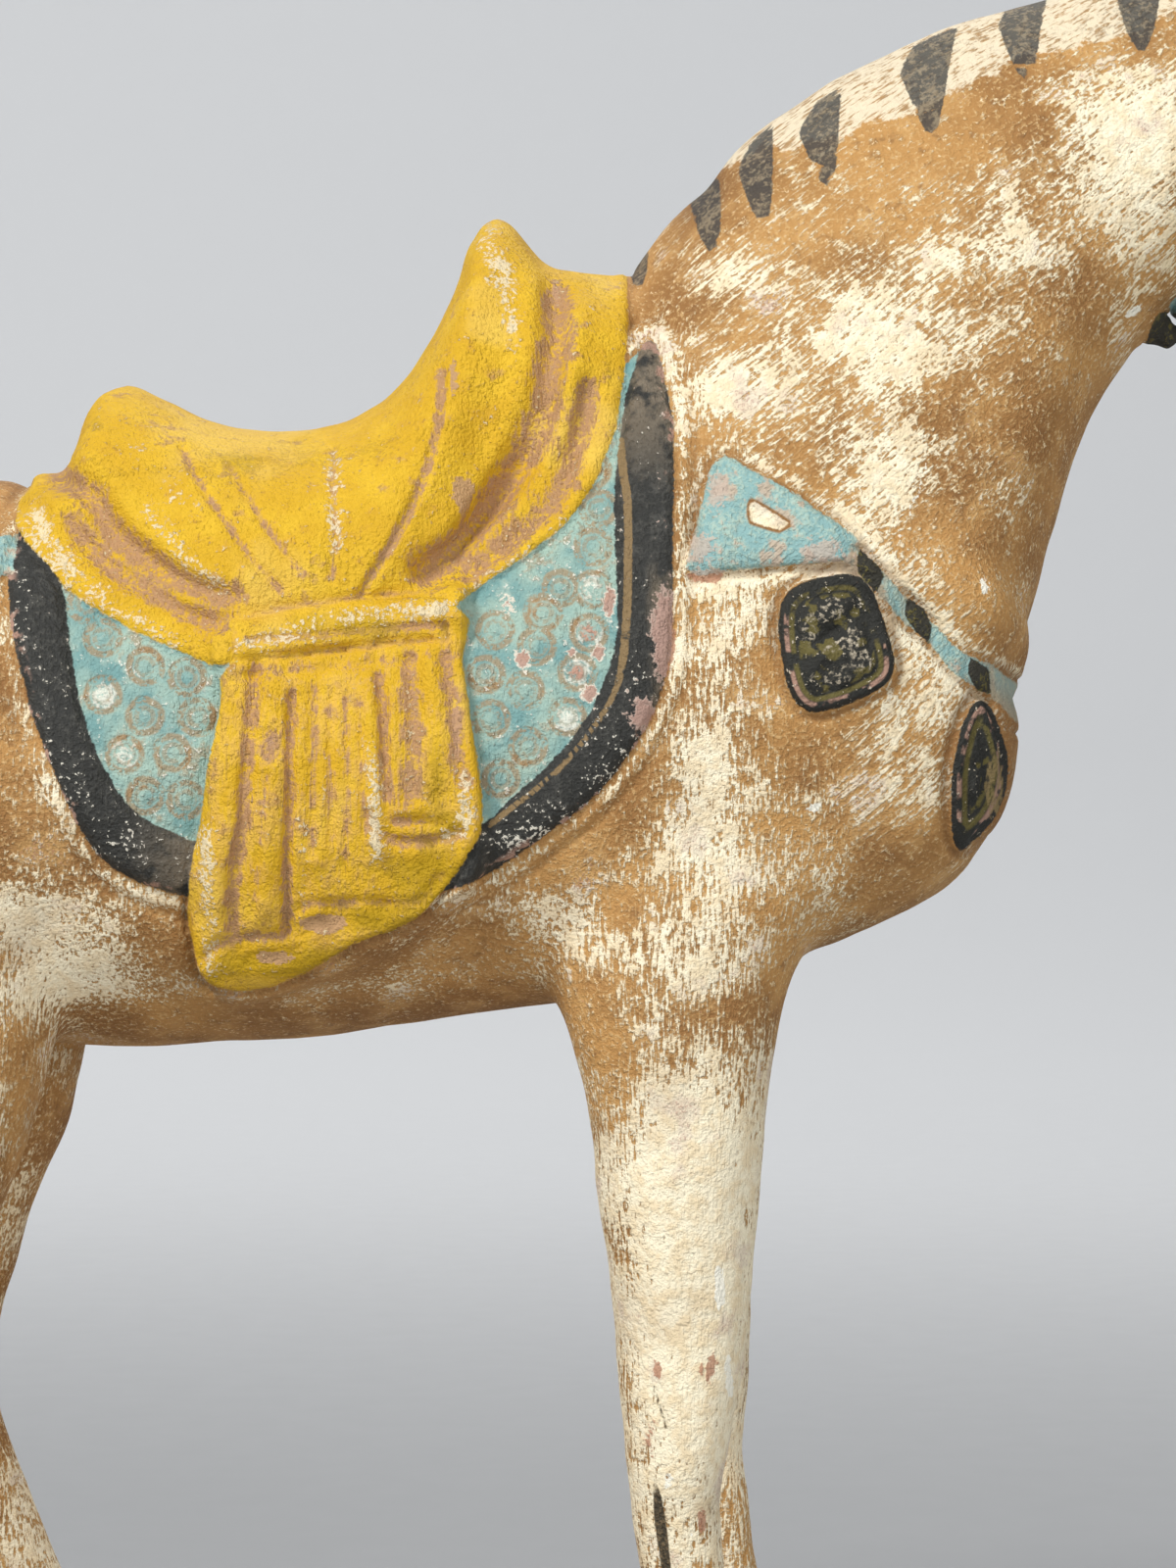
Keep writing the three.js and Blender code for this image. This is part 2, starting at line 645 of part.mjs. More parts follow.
function faceDetails(side) {
  return [
    ellipsoid([46.6, side * 5.2, 90.5], [2.0, 1.4, 1.4], 0.75), // eye
    ellipsoid([46.9, side * 5.0, 92.0], [2.5, 1.3, 0.7], 0.7), // brow
    ellipsoid([55.0, side * 3.1, 73.4], [1.7, 1.2, 1.2], 1.0), // nostril
  ];
}

// The parting of the lips, cut in from the front.
function mouthCut() {
  const cut = new THREE.BoxGeometry(5.2 * unit, 12 * unit, 0.35 * unit);
  cut.rotateY(0.42);
  cut.translate(55.2 * unit, 0, 69.3 * unit);
  return solid(cut);
}

// A strap around the head or neck: a short run of the loft's sections, grown outwards.
function collar(stations, from, to, grow, around) {
  const lists = smooth(stations, 8).slice(from * 8, to * 8 + 1);
  return solid(loft(lists.map((s) => sectionRing(s, around, grow))));
}

function bridle() {
  const cheek = (side) => {
    const front = [[41.2, 97.0], [46.5, 85.8], [51.6, 77.6]];
    const back = [[39.9, 96.2], [45.2, 85.2], [50.4, 77.0]];
    const strip = between(front, back);
    return relief(10, 2, (u, v) => onCheek(...strip(u, v), side), () => strapRise);
  };
  return [
    collar(headStations, 6.5, 6.875, strapRise, headAround), // noseband
    collar(bodyStations, 15, 15.375, strapRise, bodyAround), // crownpiece and throat strap
    ellipsoid([36.6, 0, 80.8], [0.9, 1.3, 0.8]), // knob of the throat strap
    cheek(1),
    cheek(-1),
  ];
}

// Tail, docked and bound into a short curl

function tail() {
  // Along its middle, from the root: x, z and radius.
  const line = [
    [-36.0, 69.6, 1.7], [-39.0, 69.6, 1.9], [-41.2, 66.6, 2.0],
    [-41.4, 62.6, 1.9], [-40.6, 59.0, 1.3], [-40.2, 57.6, 0.4],
  ];
  const rings = smooth(line, 3).map(([x, z, r], i, all) => {
    const next = all[Math.min(i + 1, all.length - 1)];
    const last = all[Math.max(i - 1, 0)];
    const run = new THREE.Vector2(next[0] - last[0], next[1] - last[1]).normalize();
    return Array.from({ length: roundSides }, (_, k) => {
      const angle = (2 * Math.PI * k) / roundSides;
      const out = r * Math.cos(angle);
      return new THREE.Vector3(x + run.y * out, r * 1.1 * Math.sin(angle), z - run.x * out);
    });
  });
  return solid(loft(rings));
}

// The two pieces

function horse() {
  const pieces = [
    solid(bodyLoft),
    solid(headLoft),
    leg(foreLevels, -1),
    leg(foreLevels, 1, leftStrideUnits),
    saddleSeat(),
    forelock(),
    tail(),
    ...bridle(),
  ];
  for (const side of [-1, 1])
    pieces.push(
      leg(hindLevels, side),
      ...blanket(side),
      cover(side),
      fall(side),
      band(side),
      ...breastStrap(side),
      ...breastPendants(side),
      ...crupper(side),
      ...faceDetails(side),
      ear(side),
    );
  const carved = filled(join(pieces).subtract(mouthCut()));
  const mesh = new THREE.Mesh(thinned(geometryOf(carved), horseTriangles), terracotta);
  mesh.name = "horse";
  mesh.position.z = slabThickness + standGap;
  return mesh;
}

function slab() {
  const halfLength = hoofReach + slabMargin;
  const halfWidth = hoofSpread + slabMargin;
  const inset = slabBevel;
  const outline = new THREE.Shape();
  const [x, y, r] = [halfLength - inset, halfWidth - inset, slabCornerRadius - inset];
  outline.moveTo(-x + r, -y);
  outline.lineTo(x - r, -y);
  outline.absarc(x - r, -y + r, r, -quarter, 0);
  outline.lineTo(x, y - r);
  outline.absarc(x - r, y - r, r, 0, quarter);
  outline.lineTo(-x + r, y);
  outline.absarc(-x + r, y - r, r, quarter, 2 * quarter);
  outline.lineTo(-x, -y + r);
  outline.absarc(-x + r, -y + r, r, 2 * quarter, 3 * quarter);
  const geometry = new THREE.ExtrudeGeometry(outline, {
    depth: slabThickness - 2 * slabBevel,
    bevelSize: slabBevel,
    bevelThickness: slabBevel,
    bevelSegments: 2,
    curveSegments: 6,
  });
  geometry.translate(0, 0, slabBevel);
  const mesh = new THREE.Mesh(geometry, bareClay);
  mesh.name = "base";
  return mesh;
}

const figure = new THREE.Group();
figure.add(horse(), slab());

export default figure;
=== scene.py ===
"""The terracotta horse figure: its carving, worn paint, studio and camera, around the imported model."""
import math

import bpy
import numpy as np
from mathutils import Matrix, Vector


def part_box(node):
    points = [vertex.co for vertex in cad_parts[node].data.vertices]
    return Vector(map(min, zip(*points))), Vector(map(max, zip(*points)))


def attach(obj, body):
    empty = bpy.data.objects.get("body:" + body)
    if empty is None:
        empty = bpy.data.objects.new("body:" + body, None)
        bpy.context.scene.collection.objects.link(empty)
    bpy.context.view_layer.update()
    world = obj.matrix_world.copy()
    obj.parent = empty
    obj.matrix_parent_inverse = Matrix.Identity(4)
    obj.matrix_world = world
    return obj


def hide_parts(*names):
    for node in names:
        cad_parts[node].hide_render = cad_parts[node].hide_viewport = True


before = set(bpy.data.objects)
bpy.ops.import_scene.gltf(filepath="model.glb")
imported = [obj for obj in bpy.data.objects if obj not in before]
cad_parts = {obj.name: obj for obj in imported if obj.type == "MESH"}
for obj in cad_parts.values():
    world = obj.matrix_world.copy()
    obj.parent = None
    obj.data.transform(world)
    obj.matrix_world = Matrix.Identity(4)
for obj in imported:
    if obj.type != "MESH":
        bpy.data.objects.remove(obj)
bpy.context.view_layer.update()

UNIT = 0.0045  # the figure's drawing unit: a 104th of its height
SOLE = 0.0113  # height of the soles
EYE = (0.0315, -0.9, 0.2723)  # the camera, level with the blanket and square to the flank

# Carving is laid out on a side view, in steps of a 20th of a unit: x to the right, y down.
STEPS = 20
STEP = UNIT / STEPS
MIDDLE = (600, 800)  # the point of the side view that lies straight ahead of the camera
FAR = 60.0  # distances on the side view are cut off here


def side_view(points):
    """Where points lie on the side view, the left flank folded over onto the right one."""
    depth = -EYE[1] / (-EYE[1] - np.abs(points[:, 1]))
    across = MIDDLE[0] + (points[:, 0] - EYE[0]) / STEP * depth
    down = MIDDLE[1] - (points[:, 2] - EYE[2]) / STEP * depth
    return np.stack([across, down], axis=1)


def in_units(points):
    """Points in drawing units, with heights above the soles."""
    return np.stack([points[:, 0], points[:, 1], points[:, 2] - SOLE], axis=1) / UNIT


def in_steps(gap):
    """A distance in units, turned into steps and cut off at FAR."""
    return np.clip(gap * STEPS, -FAR, FAR)


# Lines and areas

def rounded(line, steps=3, closed=False):
    """The line led smoothly through its points."""
    p = np.array(line, float)
    before, after = (p[-1:], p[:2]) if closed else (2 * p[:1] - p[1:2], 2 * p[-1:] - p[-2:-1])
    p = np.vstack([before, p, after])
    t = np.arange(steps)[:, None] / steps
    parts = [
        0.5 * (2 * b + (c - a) * t + (2 * a - 5 * b + 4 * c - d) * t**2 + (3 * b - a - 3 * c + d) * t**3)
        for a, b, c, d in zip(p, p[1:], p[2:], p[3:])
    ]
    return np.vstack([*parts, p[-2:-1]])


def distance(points, line):
    """How far each point is from the line, or FAR where it is further than that."""
    line = np.asarray(line, float)
    low, high = line.min(0) - FAR, line.max(0) + FAR
    close = np.all((points > low) & (points < high), axis=1)
    p = points[close]
    best = np.full(len(p), FAR**2)
    for a, b in zip(line, line[1:]):
        run = b - a
        share = np.clip((p - a) @ run / max(run @ run, 1e-9), 0, 1)
        best = np.minimum(best, ((p - a - share[:, None] * run) ** 2).sum(1))
    far = np.full(len(points), FAR)
    far[close] = np.sqrt(best)
    return far


def inside(points, outline):
    """Which points lie within a closed outline."""
    x, y = points.T
    odd = np.zeros(len(points), bool)
    for (ax, ay), (bx, by) in zip(outline, np.roll(outline, -1, axis=0)):
        if ay != by:
            odd ^= ((ay > y) != (by > y)) & (x < ax + (y - ay) * (bx - ax) / (by - ay))
    return odd


def within(points, outline):
    """The distance from a closed outline, more than 0 inside it."""
    outline = np.asarray(outline, float)
    away = distance(points, np.vstack([outline, outline[:1]]))
    return np.where(inside(points, outline), away, -away)


def bump(away, width, height):
    """A soft ridge, or a groove for a height below 0, along what away is the distance from."""
    return height * np.exp(-((away / width) ** 2))


def bumps(away, *ridges):
    """Ridges and grooves side by side: where each lies along away, its width and its height."""
    return sum(bump(away - place, width, height) for place, width, height in ridges)


def oval(points, x, y, across, down, power=2):
    """1 on an oval about x, y, less inside it and more outside. A higher power squares it off."""
    u, v = np.abs((points[:, 0] - x) / across), np.abs((points[:, 1] - y) / down)
    return (u**power + v**power) ** (1 / power)


def spot(flat, x, y, across, down):
    """A soft round place on the side view, 1 at its middle."""
    return np.exp(-(((flat[:, 0] - x) / across) ** 2) - ((flat[:, 1] - y) / down) ** 2)


def ramp(value, low, high):
    """0 up to low, 1 from high, and smooth between them."""
    t = np.clip((value - low) / (high - low), 0, 1)
    return t * t * (3 - 2 * t)


def between(value, low, full, ebb, high):
    """1 from full to ebb, 0 up to low and from high, and smooth between them."""
    return ramp(value, low, full) * (1 - ramp(value, ebb, high))


def waves(points, length, seed):
    """Smooth uneven ground from -1 to 1 whose swells are about length apart."""
    chance = np.random.default_rng(seed)
    total = np.zeros(len(points))
    count = 14
    for _ in range(count):
        way = chance.normal(size=3)
        way *= 2 * math.pi / (length * chance.uniform(0.7, 1.6)) / np.linalg.norm(way)
        total += np.sin(points @ way + chance.uniform(0, 2 * math.pi))
    return total / math.sqrt(count)


# The saddle, its draped cover and the fall below its band, on the side view

FALL = rounded([
    (236, 678), (225, 722), (212, 784), (204, 837), (197, 876), (191, 927), (197, 963), (206, 994),
    (223, 1008), (251, 1011), (282, 1005), (324, 986), (361, 963), (400, 949), (423, 938), (451, 910),
    (482, 865), (493, 837), (490, 798), (484, 756), (477, 708), (472, 669), (470, 621), (350, 640),
], closed=True)
COVER = [
    (15, 532), (26, 553), (48, 575), (67, 601), (100, 623), (139, 645), (178, 662), (217, 679), (236, 676),
    (440, 656), (468, 616), (499, 592), (538, 566), (577, 536), (607, 493), (629, 436), (637, 380),
    (641, 330), (640, 288), (640, 200), (33, 200), (33, 495), (20, 510),
]
BAND_TOP = [(240, 632), (296, 619), (350, 612), (411, 605), (456, 607)]
BAND_FOOT = [(240, 674), (282, 670), (338, 664), (394, 657), (439, 653), (456, 654)]
BAND = BAND_TOP + BAND_FOOT[::-1]
BAND_LINE = [(254, 653), (350, 645), (409, 640), (453, 638)]
HEM_LINE = [
    (209, 977), (235, 958), (288, 955), (305, 927), (366, 921), (423, 921), (451, 893),
]
CHIPS = [[(305, 950), (330, 940), (352, 932)], [(256, 980), (280, 976), (302, 970)]]

# Lines along the cover and the fall: their points, half width in steps and depth in millimetres.
GROOVES = [
    ([(261, 683), (258, 720), (251, 792), (247, 843), (240, 885), (237, 927), (237, 946)], 6, 1.2),
    ([(298, 708), (296, 758), (296, 815), (293, 871), (293, 913), (291, 949)], 4, 1.4),
    ([(322, 702), (320, 790), (319, 871)], 5, 0.7),
    ([(338, 708), (336, 786), (338, 857)], 5, 0.6),
    ([(352, 714), (355, 800), (352, 890)], 3, 0.7),
    ([(367, 712), (370, 790), (372, 850)], 3, 0.7),
    ([(405, 692), (408, 740), (409, 800)], 3.5, 0.6),
    ([(273, 790), (266, 850), (260, 930)], 3, 0.6),
    ([(310, 880), (318, 920)], 3, 0.6),
    ([(386, 690), (391, 730), (392, 770), (396, 812)], 5, 1.1),
    ([(418, 674), (421, 730), (421, 786), (417, 812)], 8, 1.2),
    ([(453, 671), (460, 708), (465, 747), (469, 786), (474, 798)], 7, 1.1),
    ([(376, 832), (384, 848), (403, 858), (430, 860), (470, 850)], 5, 1.2),
    ([(403, 838), (425, 838), (451, 839)], 4, 0.9),
    ([(275, 752), (275, 768)], 8, 1.1),
    ([(65, 488), (93, 506), (113, 540), (143, 566), (182, 592), (217, 605), (236, 608)], 11, 1.9),
    ([(74, 532), (95, 558), (121, 584), (152, 601), (186, 623), (225, 636)], 9, 1.5),
    ([(567, 309), (568, 346), (560, 382), (555, 423), (533, 471), (503, 514), (473, 553),
      (434, 582)], 13, 2.2),
    ([(598, 397), (585, 467), (563, 514), (526, 548), (481, 582)], 10, 1.6),
    ([(186, 458), (208, 501), (239, 545), (260, 575), (286, 601)], 4, 0.9),
    ([(236, 478), (260, 519), (282, 553), (308, 584)], 4, 0.7),
    ([(340, 458), (340, 510), (343, 553), (338, 592)], 4, 0.7),
    ([(451, 380), (447, 432), (429, 497), (403, 549), (369, 605)], 4.5, 1.0),
    ([(244, 690), (300, 684), (380, 676), (466, 668)], 6, 0.6),
    (BAND_LINE, 3.5, 1.1),
    (HEM_LINE, 5, 0.8),
]
RIDGES = [
    ([(98, 406), (94, 467), (117, 492), (152, 536), (195, 575), (234, 600)], 14, 1.3),
    ([(50, 512), (84, 534), (106, 564), (140, 590), (186, 610), (228, 624)], 9, 0.9),
    ([(478, 256), (486, 300), (470, 360)], 11, 0.7),
    ([(512, 225), (534, 270), (540, 300), (540, 350), (530, 400), (498, 470), (450, 545)], 13, 1.2),
    ([(586, 330), (584, 400), (568, 462), (534, 514), (484, 560)], 11, 1.1),
    ([(622, 330), (614, 420), (590, 490), (540, 546)], 11, 0.6),
    ([(312, 594), (323, 540), (316, 500)], 14, 0.5),
    ([(262, 590), (220, 530), (200, 490)], 12, 0.4),
    ([(372, 590), (392, 540), (400, 480)], 14, 0.5),
    ([(378, 700), (380, 758), (383, 831), (389, 871)], 9, 1.0),
    ([(438, 676), (444, 740), (448, 800)], 11, 1.1),
    ([(404, 700), (406, 760), (404, 812)], 7, 0.6),
    ([(408, 824), (430, 824), (452, 825)], 8, 0.9),
    ([(278, 690), (274, 800), (268, 930)], 11, 0.9),
    ([(308, 700), (306, 800), (304, 900)], 8, 0.7),
    ([(345, 690), (352, 790), (352, 900)], 10, 0.7),
    ([(228, 720), (218, 800), (212, 900)], 10, 0.7),
    ([(203, 992), (230, 985), (282, 985), (330, 962), (390, 940), (440, 915)], 15, 1.0),
]
# Where the yellow is rubbed through to white along raised places.
RUBBED = [
    [(15, 527), (35, 560), (60, 590), (110, 620), (178, 655)],
    [(39, 523), (56, 558), (78, 588), (104, 605)],
    [(150, 520), (185, 565), (225, 600)],
    [(495, 250), (520, 290), (520, 335)],
    [(468, 616), (520, 580), (577, 536)],
    [(340, 470), (342, 560)],
    [(378, 758), (383, 831), (389, 871)],
    [(470, 790), (476, 840), (455, 850)],
    [(245, 660), (350, 630), (450, 622)],
    [(207, 850), (212, 920), (216, 990)],
]

# The blanket: a dark border around a stamped field

BORDER_OUT = rounded([
    (661, 346), (672, 357), (679, 391), (686, 424), (688, 464), (687, 537), (686, 638), (680, 690),
    (655, 750), (610, 810), (560, 850), (510, 885), (470, 905), (400, 920), (330, 925), (260, 922),
    (190, 915), (130, 895), (90, 860), (60, 800), (30, 720), (12, 640), (8, 580), (18, 548), (60, 500),
    (300, 480), (560, 420), (640, 370),
], closed=True)
BORDER_IN = rounded([
    (652, 352), (638, 408), (631, 458), (627, 509), (628, 565), (630, 638), (622, 680), (600, 730),
    (560, 780), (520, 815), (495, 840), (430, 868), (340, 880), (260, 876), (190, 855), (140, 830),
    (110, 790), (85, 730), (72, 660), (62, 590), (40, 556), (80, 500), (300, 460), (560, 400), (630, 356),
], closed=True)
BORDER_STRIPE = rounded([
    (633, 450), (636, 483), (640, 509), (641, 565), (639, 638), (630, 700), (600, 750), (565, 790),
    (520, 826), (500, 842),
])
# Stamped rings: the middle of each, and its heart, 0 plain, 1 worn to white and 2 worn to clay.
RINGS = np.array([
    (611, 519, 0), (604, 480, 0), (605, 558, 0), (572, 600, 0), (604, 601, 1), (601, 646, 2), (589, 686, 2),
    (579, 732, 1), (554, 625, 0), (505, 643, 0), (548, 659, 0), (496, 688, 0), (536, 704, 0), (501, 734, 0),
    (539, 762, 0), (511, 795, 0), (105, 651, 0), (105, 709, 1), (148, 731, 0), (191, 691, 0), (201, 732, 0),
    (127, 770, 1), (176, 768, 0), (148, 812, 0), (189, 816, 0), (148, 680, 0), (88, 616, 0),
], float)

# Harness

BREAST_STRAP = [
    (872, 560), (884, 566), (899, 580), (920, 604), (950, 634), (980, 664), (1010, 676), (1037, 697),
    (1100, 720), (1100, 770), (1035, 736), (1010, 709), (989, 700), (968, 682), (950, 658), (920, 634),
    (896, 607), (875, 580),
]
TRIANGLE = [
    (740, 464), (755, 472), (800, 496), (830, 517), (854, 532), (872, 547), (879, 559), (872, 580),
    (860, 572), (815, 577), (770, 580), (740, 583), (710, 589), (699, 580), (725, 475),
]
TRIANGLE_LINE = [(759, 490), (755, 529), (747, 550), (747, 571)]
TRIANGLE_HOLE = [(767, 511), (788, 523), (806, 535), (794, 541), (767, 532), (764, 520)]
BLOCKS = [
    [(878, 559), (899, 580), (902, 589), (894, 607), (875, 583), (875, 568)],
    [(924, 607), (944, 622), (951, 640), (948, 658), (935, 646), (923, 628)],
    [(989, 670), (1010, 682), (1011, 709), (995, 703), (987, 688)],
]
FLANK_PENDANT = rounded([
    (800, 610), (815, 596), (848, 587), (872, 587), (887, 598), (896, 616), (903, 637), (911, 664),
    (912, 685), (902, 700), (875, 715), (848, 724), (827, 727), (809, 712), (800, 685), (795, 652),
    (795, 625),
], closed=True)
BREAST_PENDANT = rounded([
    (998, 715), (1010, 721), (1022, 748), (1029, 781), (1025, 811), (1013, 838), (992, 859), (980, 868),
    (972, 856), (971, 820), (972, 784), (978, 754), (986, 730),
], closed=True)
BREAST_AXIS, BREAST_RADIUS = 17, 11  # the upright axis that the breast is rounded about, in units
BREAST_PENDANT_START = 0.47  # the turn about it, in radians from straight ahead, where the pendant starts
# Where the clay is carved back to the photograph's outline: a place and its two radii.
BREAST_HOLLOW = (1042, 778, 44, 74)
WITHERS_HOLLOW = (706, 176, 40, 44)
# In drawing units, [x, z]: the parts behind the blanket and on the head.
CRUPPER = [
    (-20.8, 70.2), (-26, 69.2), (-31, 67.8), (-36.6, 66.1), (-36.6, 64.1), (-31, 65.6), (-26, 67),
    (-20.8, 68.2),
]
CRUPPER_BLOCKS = [(-24.0, 68.4), (-33.0, 66.2)]
CRUPPER_PENDANT = (-27.0, 62.9, 2.55, 3.15)
TAIL = [
    (-35.4, 70.2), (-39.5, 70.6), (-42.2, 68.4), (-43.6, 64.0), (-43.0, 56.6), (-39.6, 56.6), (-39.1, 66.8),
    (-36.6, 67.6),
]
CHEEK_STRAP = [(41.2, 97.0), (46.5, 85.8), (51.6, 77.6), (50.4, 77.0), (45.2, 85.2), (39.9, 96.2)]
NOSE_STRAP = [(54.6, 83.2), (55.9, 80.6), (50.9, 71.4), (49.6, 73.4)]
THROAT_STRAP = [
    (35.7, 101), (38.0, 101), (40.4, 94), (41.0, 88), (39.2, 83.4), (37.6, 81.6), (36.4, 82.2), (38.2, 84.6),
    (39.4, 88), (38.8, 93.6),
]
KNOB = (36.6, 80.8)
EYE_PLACE = (46.6, 90.5)
BROW = [(44.2, 92.2), (46.2, 93.2), (48.4, 92.0)]
NOSTRIL = (55.3, 73.6)
NOSE_BONE = [(46.0, 86.6), (50.4, 80.4), (53.2, 76.4)]
CHEEK = [(41.2, 87.6), (43.6, 82.4), (47.2, 80.0), (49.0, 81.6)]
LIPS = [(52.6, 70.4), (55.0, 69.6), (58.0, 68.8)]

# Mane

MANE = [
    [(636, 262), (648, 250), (662, 258), (660, 278), (655, 294), (646, 290)],
    [(703, 206), (716, 190), (734, 180), (736, 212), (735, 238), (731, 256), (723, 257), (714, 242),
     (708, 224)],
    [(752, 172), (768, 142), (789, 126), (789, 170), (788, 204), (783, 230), (774, 230), (764, 208),
     (757, 188)],
    [(815, 134), (832, 104), (859, 88), (856, 134), (854, 168), (849, 190), (840, 190), (829, 168),
     (820, 150)],
    [(917, 74), (932, 46), (977, 26), (969, 66), (963, 104), (956, 136), (946, 137), (935, 116), (926, 94)],
    [(1018, 26), (1030, 0), (1071, -14), (1063, 24), (1058, 60), (1052, 82), (1042, 82), (1032, 62),
     (1024, 42)],
    [(1136, -22), (1150, -50), (1191, -56), (1185, -10), (1179, 26), (1170, 52), (1160, 52), (1150, 34),
     (1142, 10)],
]
CREST = [
    (640, 286), (664, 262), (720, 214), (790, 172), (860, 142), (910, 122), (977, 88), (1048, 62), (1112, 44),
    (1230, 10), (1230, -120), (1000, -40), (640, 180),
]

# Soft round places on the side view: the middle of each, its two radii and an amount.
# How much more or less cream slip is left than elsewhere.
SLIP = [
    (745, 273, 50, 36, 0.42), (870, 335, 80, 58, 0.46), (872, 455, 50, 100, 0.34),
    (785, 410, 80, 80, 0.30), (930, 480, 30, 110, 0.28), (1155, 165, 56, 110, 0.54),
    (1030, 205, 110, 66, 0.30), (1100, 110, 60, 40, 0.28), (985, 290, 70, 80, 0.22),
    (1060, 330, 80, 70, 0.14), (745, 620, 50, 70, 0.32), (955, 690, 44, 80, 0.38),
    (895, 760, 80, 80, 0.26), (722, 850, 44, 90, 0.36), (725, 740, 44, 90, 0.30),
    (846, 820, 80, 20, 0.34), (700, 960, 64, 54, 0.44), (590, 945, 60, 44, 0.46),
    (800, 890, 80, 70, 0.26), (965, 905, 40, 50, 0.24), (920, 955, 80, 20, 0.30),
    (635, 930, 22, 22, -0.40), (720, 1030, 90, 13, -0.24), (925, 880, 50, 40, -0.16),
    (1040, 470, 70, 70, 0.06), (735, 400, 40, 50, 0.24), (890, 520, 40, 50, 0.20),
    (660, 880, 40, 40, 0.26), (700, 1190, 110, 150, 0.72), (694, 1400, 80, 180, 0.60),
    (22, 940, 40, 34, 0.66), (60, 1000, 70, 34, 0.24), (95, 1000, 80, 50, 0.36), (30, 1060, 60, 60, 0.30),
    (120, 930, 100, 40, 0.20), (820, 640, 70, 40, 0.22), (-120, 1100, 90, 200, 0.44),
    (-230, 700, 120, 200, 0.40), (-80, 620, 60, 120, 0.34), (-150, 1400, 60, 200, 0.50),
    (1280, 150, 110, 110, 0.36), (1330, 260, 60, 70, 0.26), (1470, 330, 60, 90, 0.34),
    (1560, 470, 60, 60, 0.28), (1290, -60, 50, 60, 0.24), (340, 1010, 160, 26, 0.20),
]
# Painted shade under the belly: less cream slip is left along this line, so the underside reads darker.
BELLY_LINE = [(-400, 1065), (200, 1040), (420, 1050), (600, 1010)]  # little slip is left along it
# Thick dabs of slip: a line and its half width.
DABS = [
    ([(952, 455), (944, 482), (934, 512), (918, 548)], 3.0), ([(734, 1288), (736, 1335)], 5.0),
    ([(742, 1385), (745, 1425)], 4.0), ([(1004, 590), (1006, 602)], 4.5), ([(1148, 322), (1166, 314)], 4.0),
    ([(682, 1508), (682, 1516)], 4.5), ([(705, 1565), (713, 1565)], 3.5),
    ([(812, 828), (862, 818), (905, 808)], 3.5), ([(928, 832), (930, 845)], 1.8),
    ([(1130, 36), (1138, 32)], 2.5), ([(744, 600), (748, 640)], 5.0),
]
# A dark brush stroke and a crack down the foreleg, and fine brown lines across the crest.
LEG_STROKE = [
    (666, 1504), (675, 1526), (680, 1554), (685, 1600), (688, 1660), (680, 1700), (675, 1600), (667, 1549),
]
CRACK = [(667, 1415), (675, 1441), (682, 1464)]
CREST_LINES = [
    [(897, 68), (903, 88), (909, 105)], [(998, 20), (1006, 36), (1012, 48)], [(1078, 0), (1086, 22)],
    [(866, 84), (870, 100)],
]

# More soft round places: where the clay shows pink through the paint.
PINK = [
    (622, 616, 6, 19, 1), (611, 668, 6, 9, 1), (603, 708, 8, 9, 1), (583, 666, 5, 4, 0.9),
    (678, 650, 11, 46, 1.2), (655, 728, 14, 14, 1), (716, 560, 15, 18, 0.8), (716, 588, 26, 8, 0.9),
    (840, 562, 24, 12, 0.9), (732, 502, 12, 22, 0.7), (330, 942, 26, 9, 1.3), (280, 977, 22, 7, 1.2),
    (533, 672, 9, 10, 0.9), (520, 620, 12, 10, 0.6), (474, 506, 13, 12, 0.7), (500, 492, 10, 9, 0.6),
    (458, 560, 12, 9, 0.6), (275, 760, 6, 9, 1.0), (463, 385, 6, 26, 0.8), (472, 505, 13, 22, 1.0),
    (466, 740, 6, 36, 0.9), (542, 443, 9, 22, 0.6), (566, 300, 6, 16, 0.7), (670, 1394, 6, 14, 1.2),
    (724, 1396, 10, 11, 1.0), (693, 1423, 6, 7, 1.2), (716, 1553, 5, 12, 1.2), (665, 1472, 10, 28, 0.7),
]
# Where the yellow is worn down to its pale ground.
WORN = [
    (508, 283, 12, 24, 1.0), (503, 233, 12, 7, 1.0), (525, 352, 8, 28, 0.7), (138, 462, 12, 12, 0.6),
    (182, 503, 24, 22, 0.55), (40, 538, 10, 22, 0.9), (64, 574, 12, 12, 0.8), (440, 622, 16, 9, 0.8),
    (383, 850, 5, 40, 0.9), (310, 868, 5, 60, 0.7), (477, 832, 5, 24, 0.9), (418, 750, 5, 50, 0.7),
    (212, 870, 8, 30, 0.7), (300, 655, 60, 6, 0.5), (330, 800, 5, 60, 0.5), (262, 992, 30, 5, 0.4),
    (1014, 800, 9, 34, 1.0),
]
# Where the yellow has turned olive.
OLIVE = [
    (350, 640, 90, 22, 0.6), (436, 896, 52, 36, 1.0), (392, 934, 66, 20, 0.9), (290, 984, 100, 20, 0.9),
    (446, 790, 14, 60, 0.6), (455, 840, 26, 16, 0.7), (255, 470, 40, 20, 0.5), (222, 996, 20, 10, 0.7),
    (100, 430, 14, 22, 0.4), (452, 640, 14, 18, 0.5),
]
# Where the border's black is flecked with white.
FLECKED = [
    (630, 790, 60, 60, 1), (560, 850, 60, 40, 1), (660, 700, 24, 50, 0.8), (60, 780, 40, 70, 0.8),
    (110, 860, 50, 30, 0.8), (16, 620, 16, 50, 0.6), (300, 900, 60, 20, 0.4),
]


def spots(flat, places):
    """The strongest of several soft round places."""
    return np.max([amount * spot(flat, *place) for *place, amount in places], axis=0)


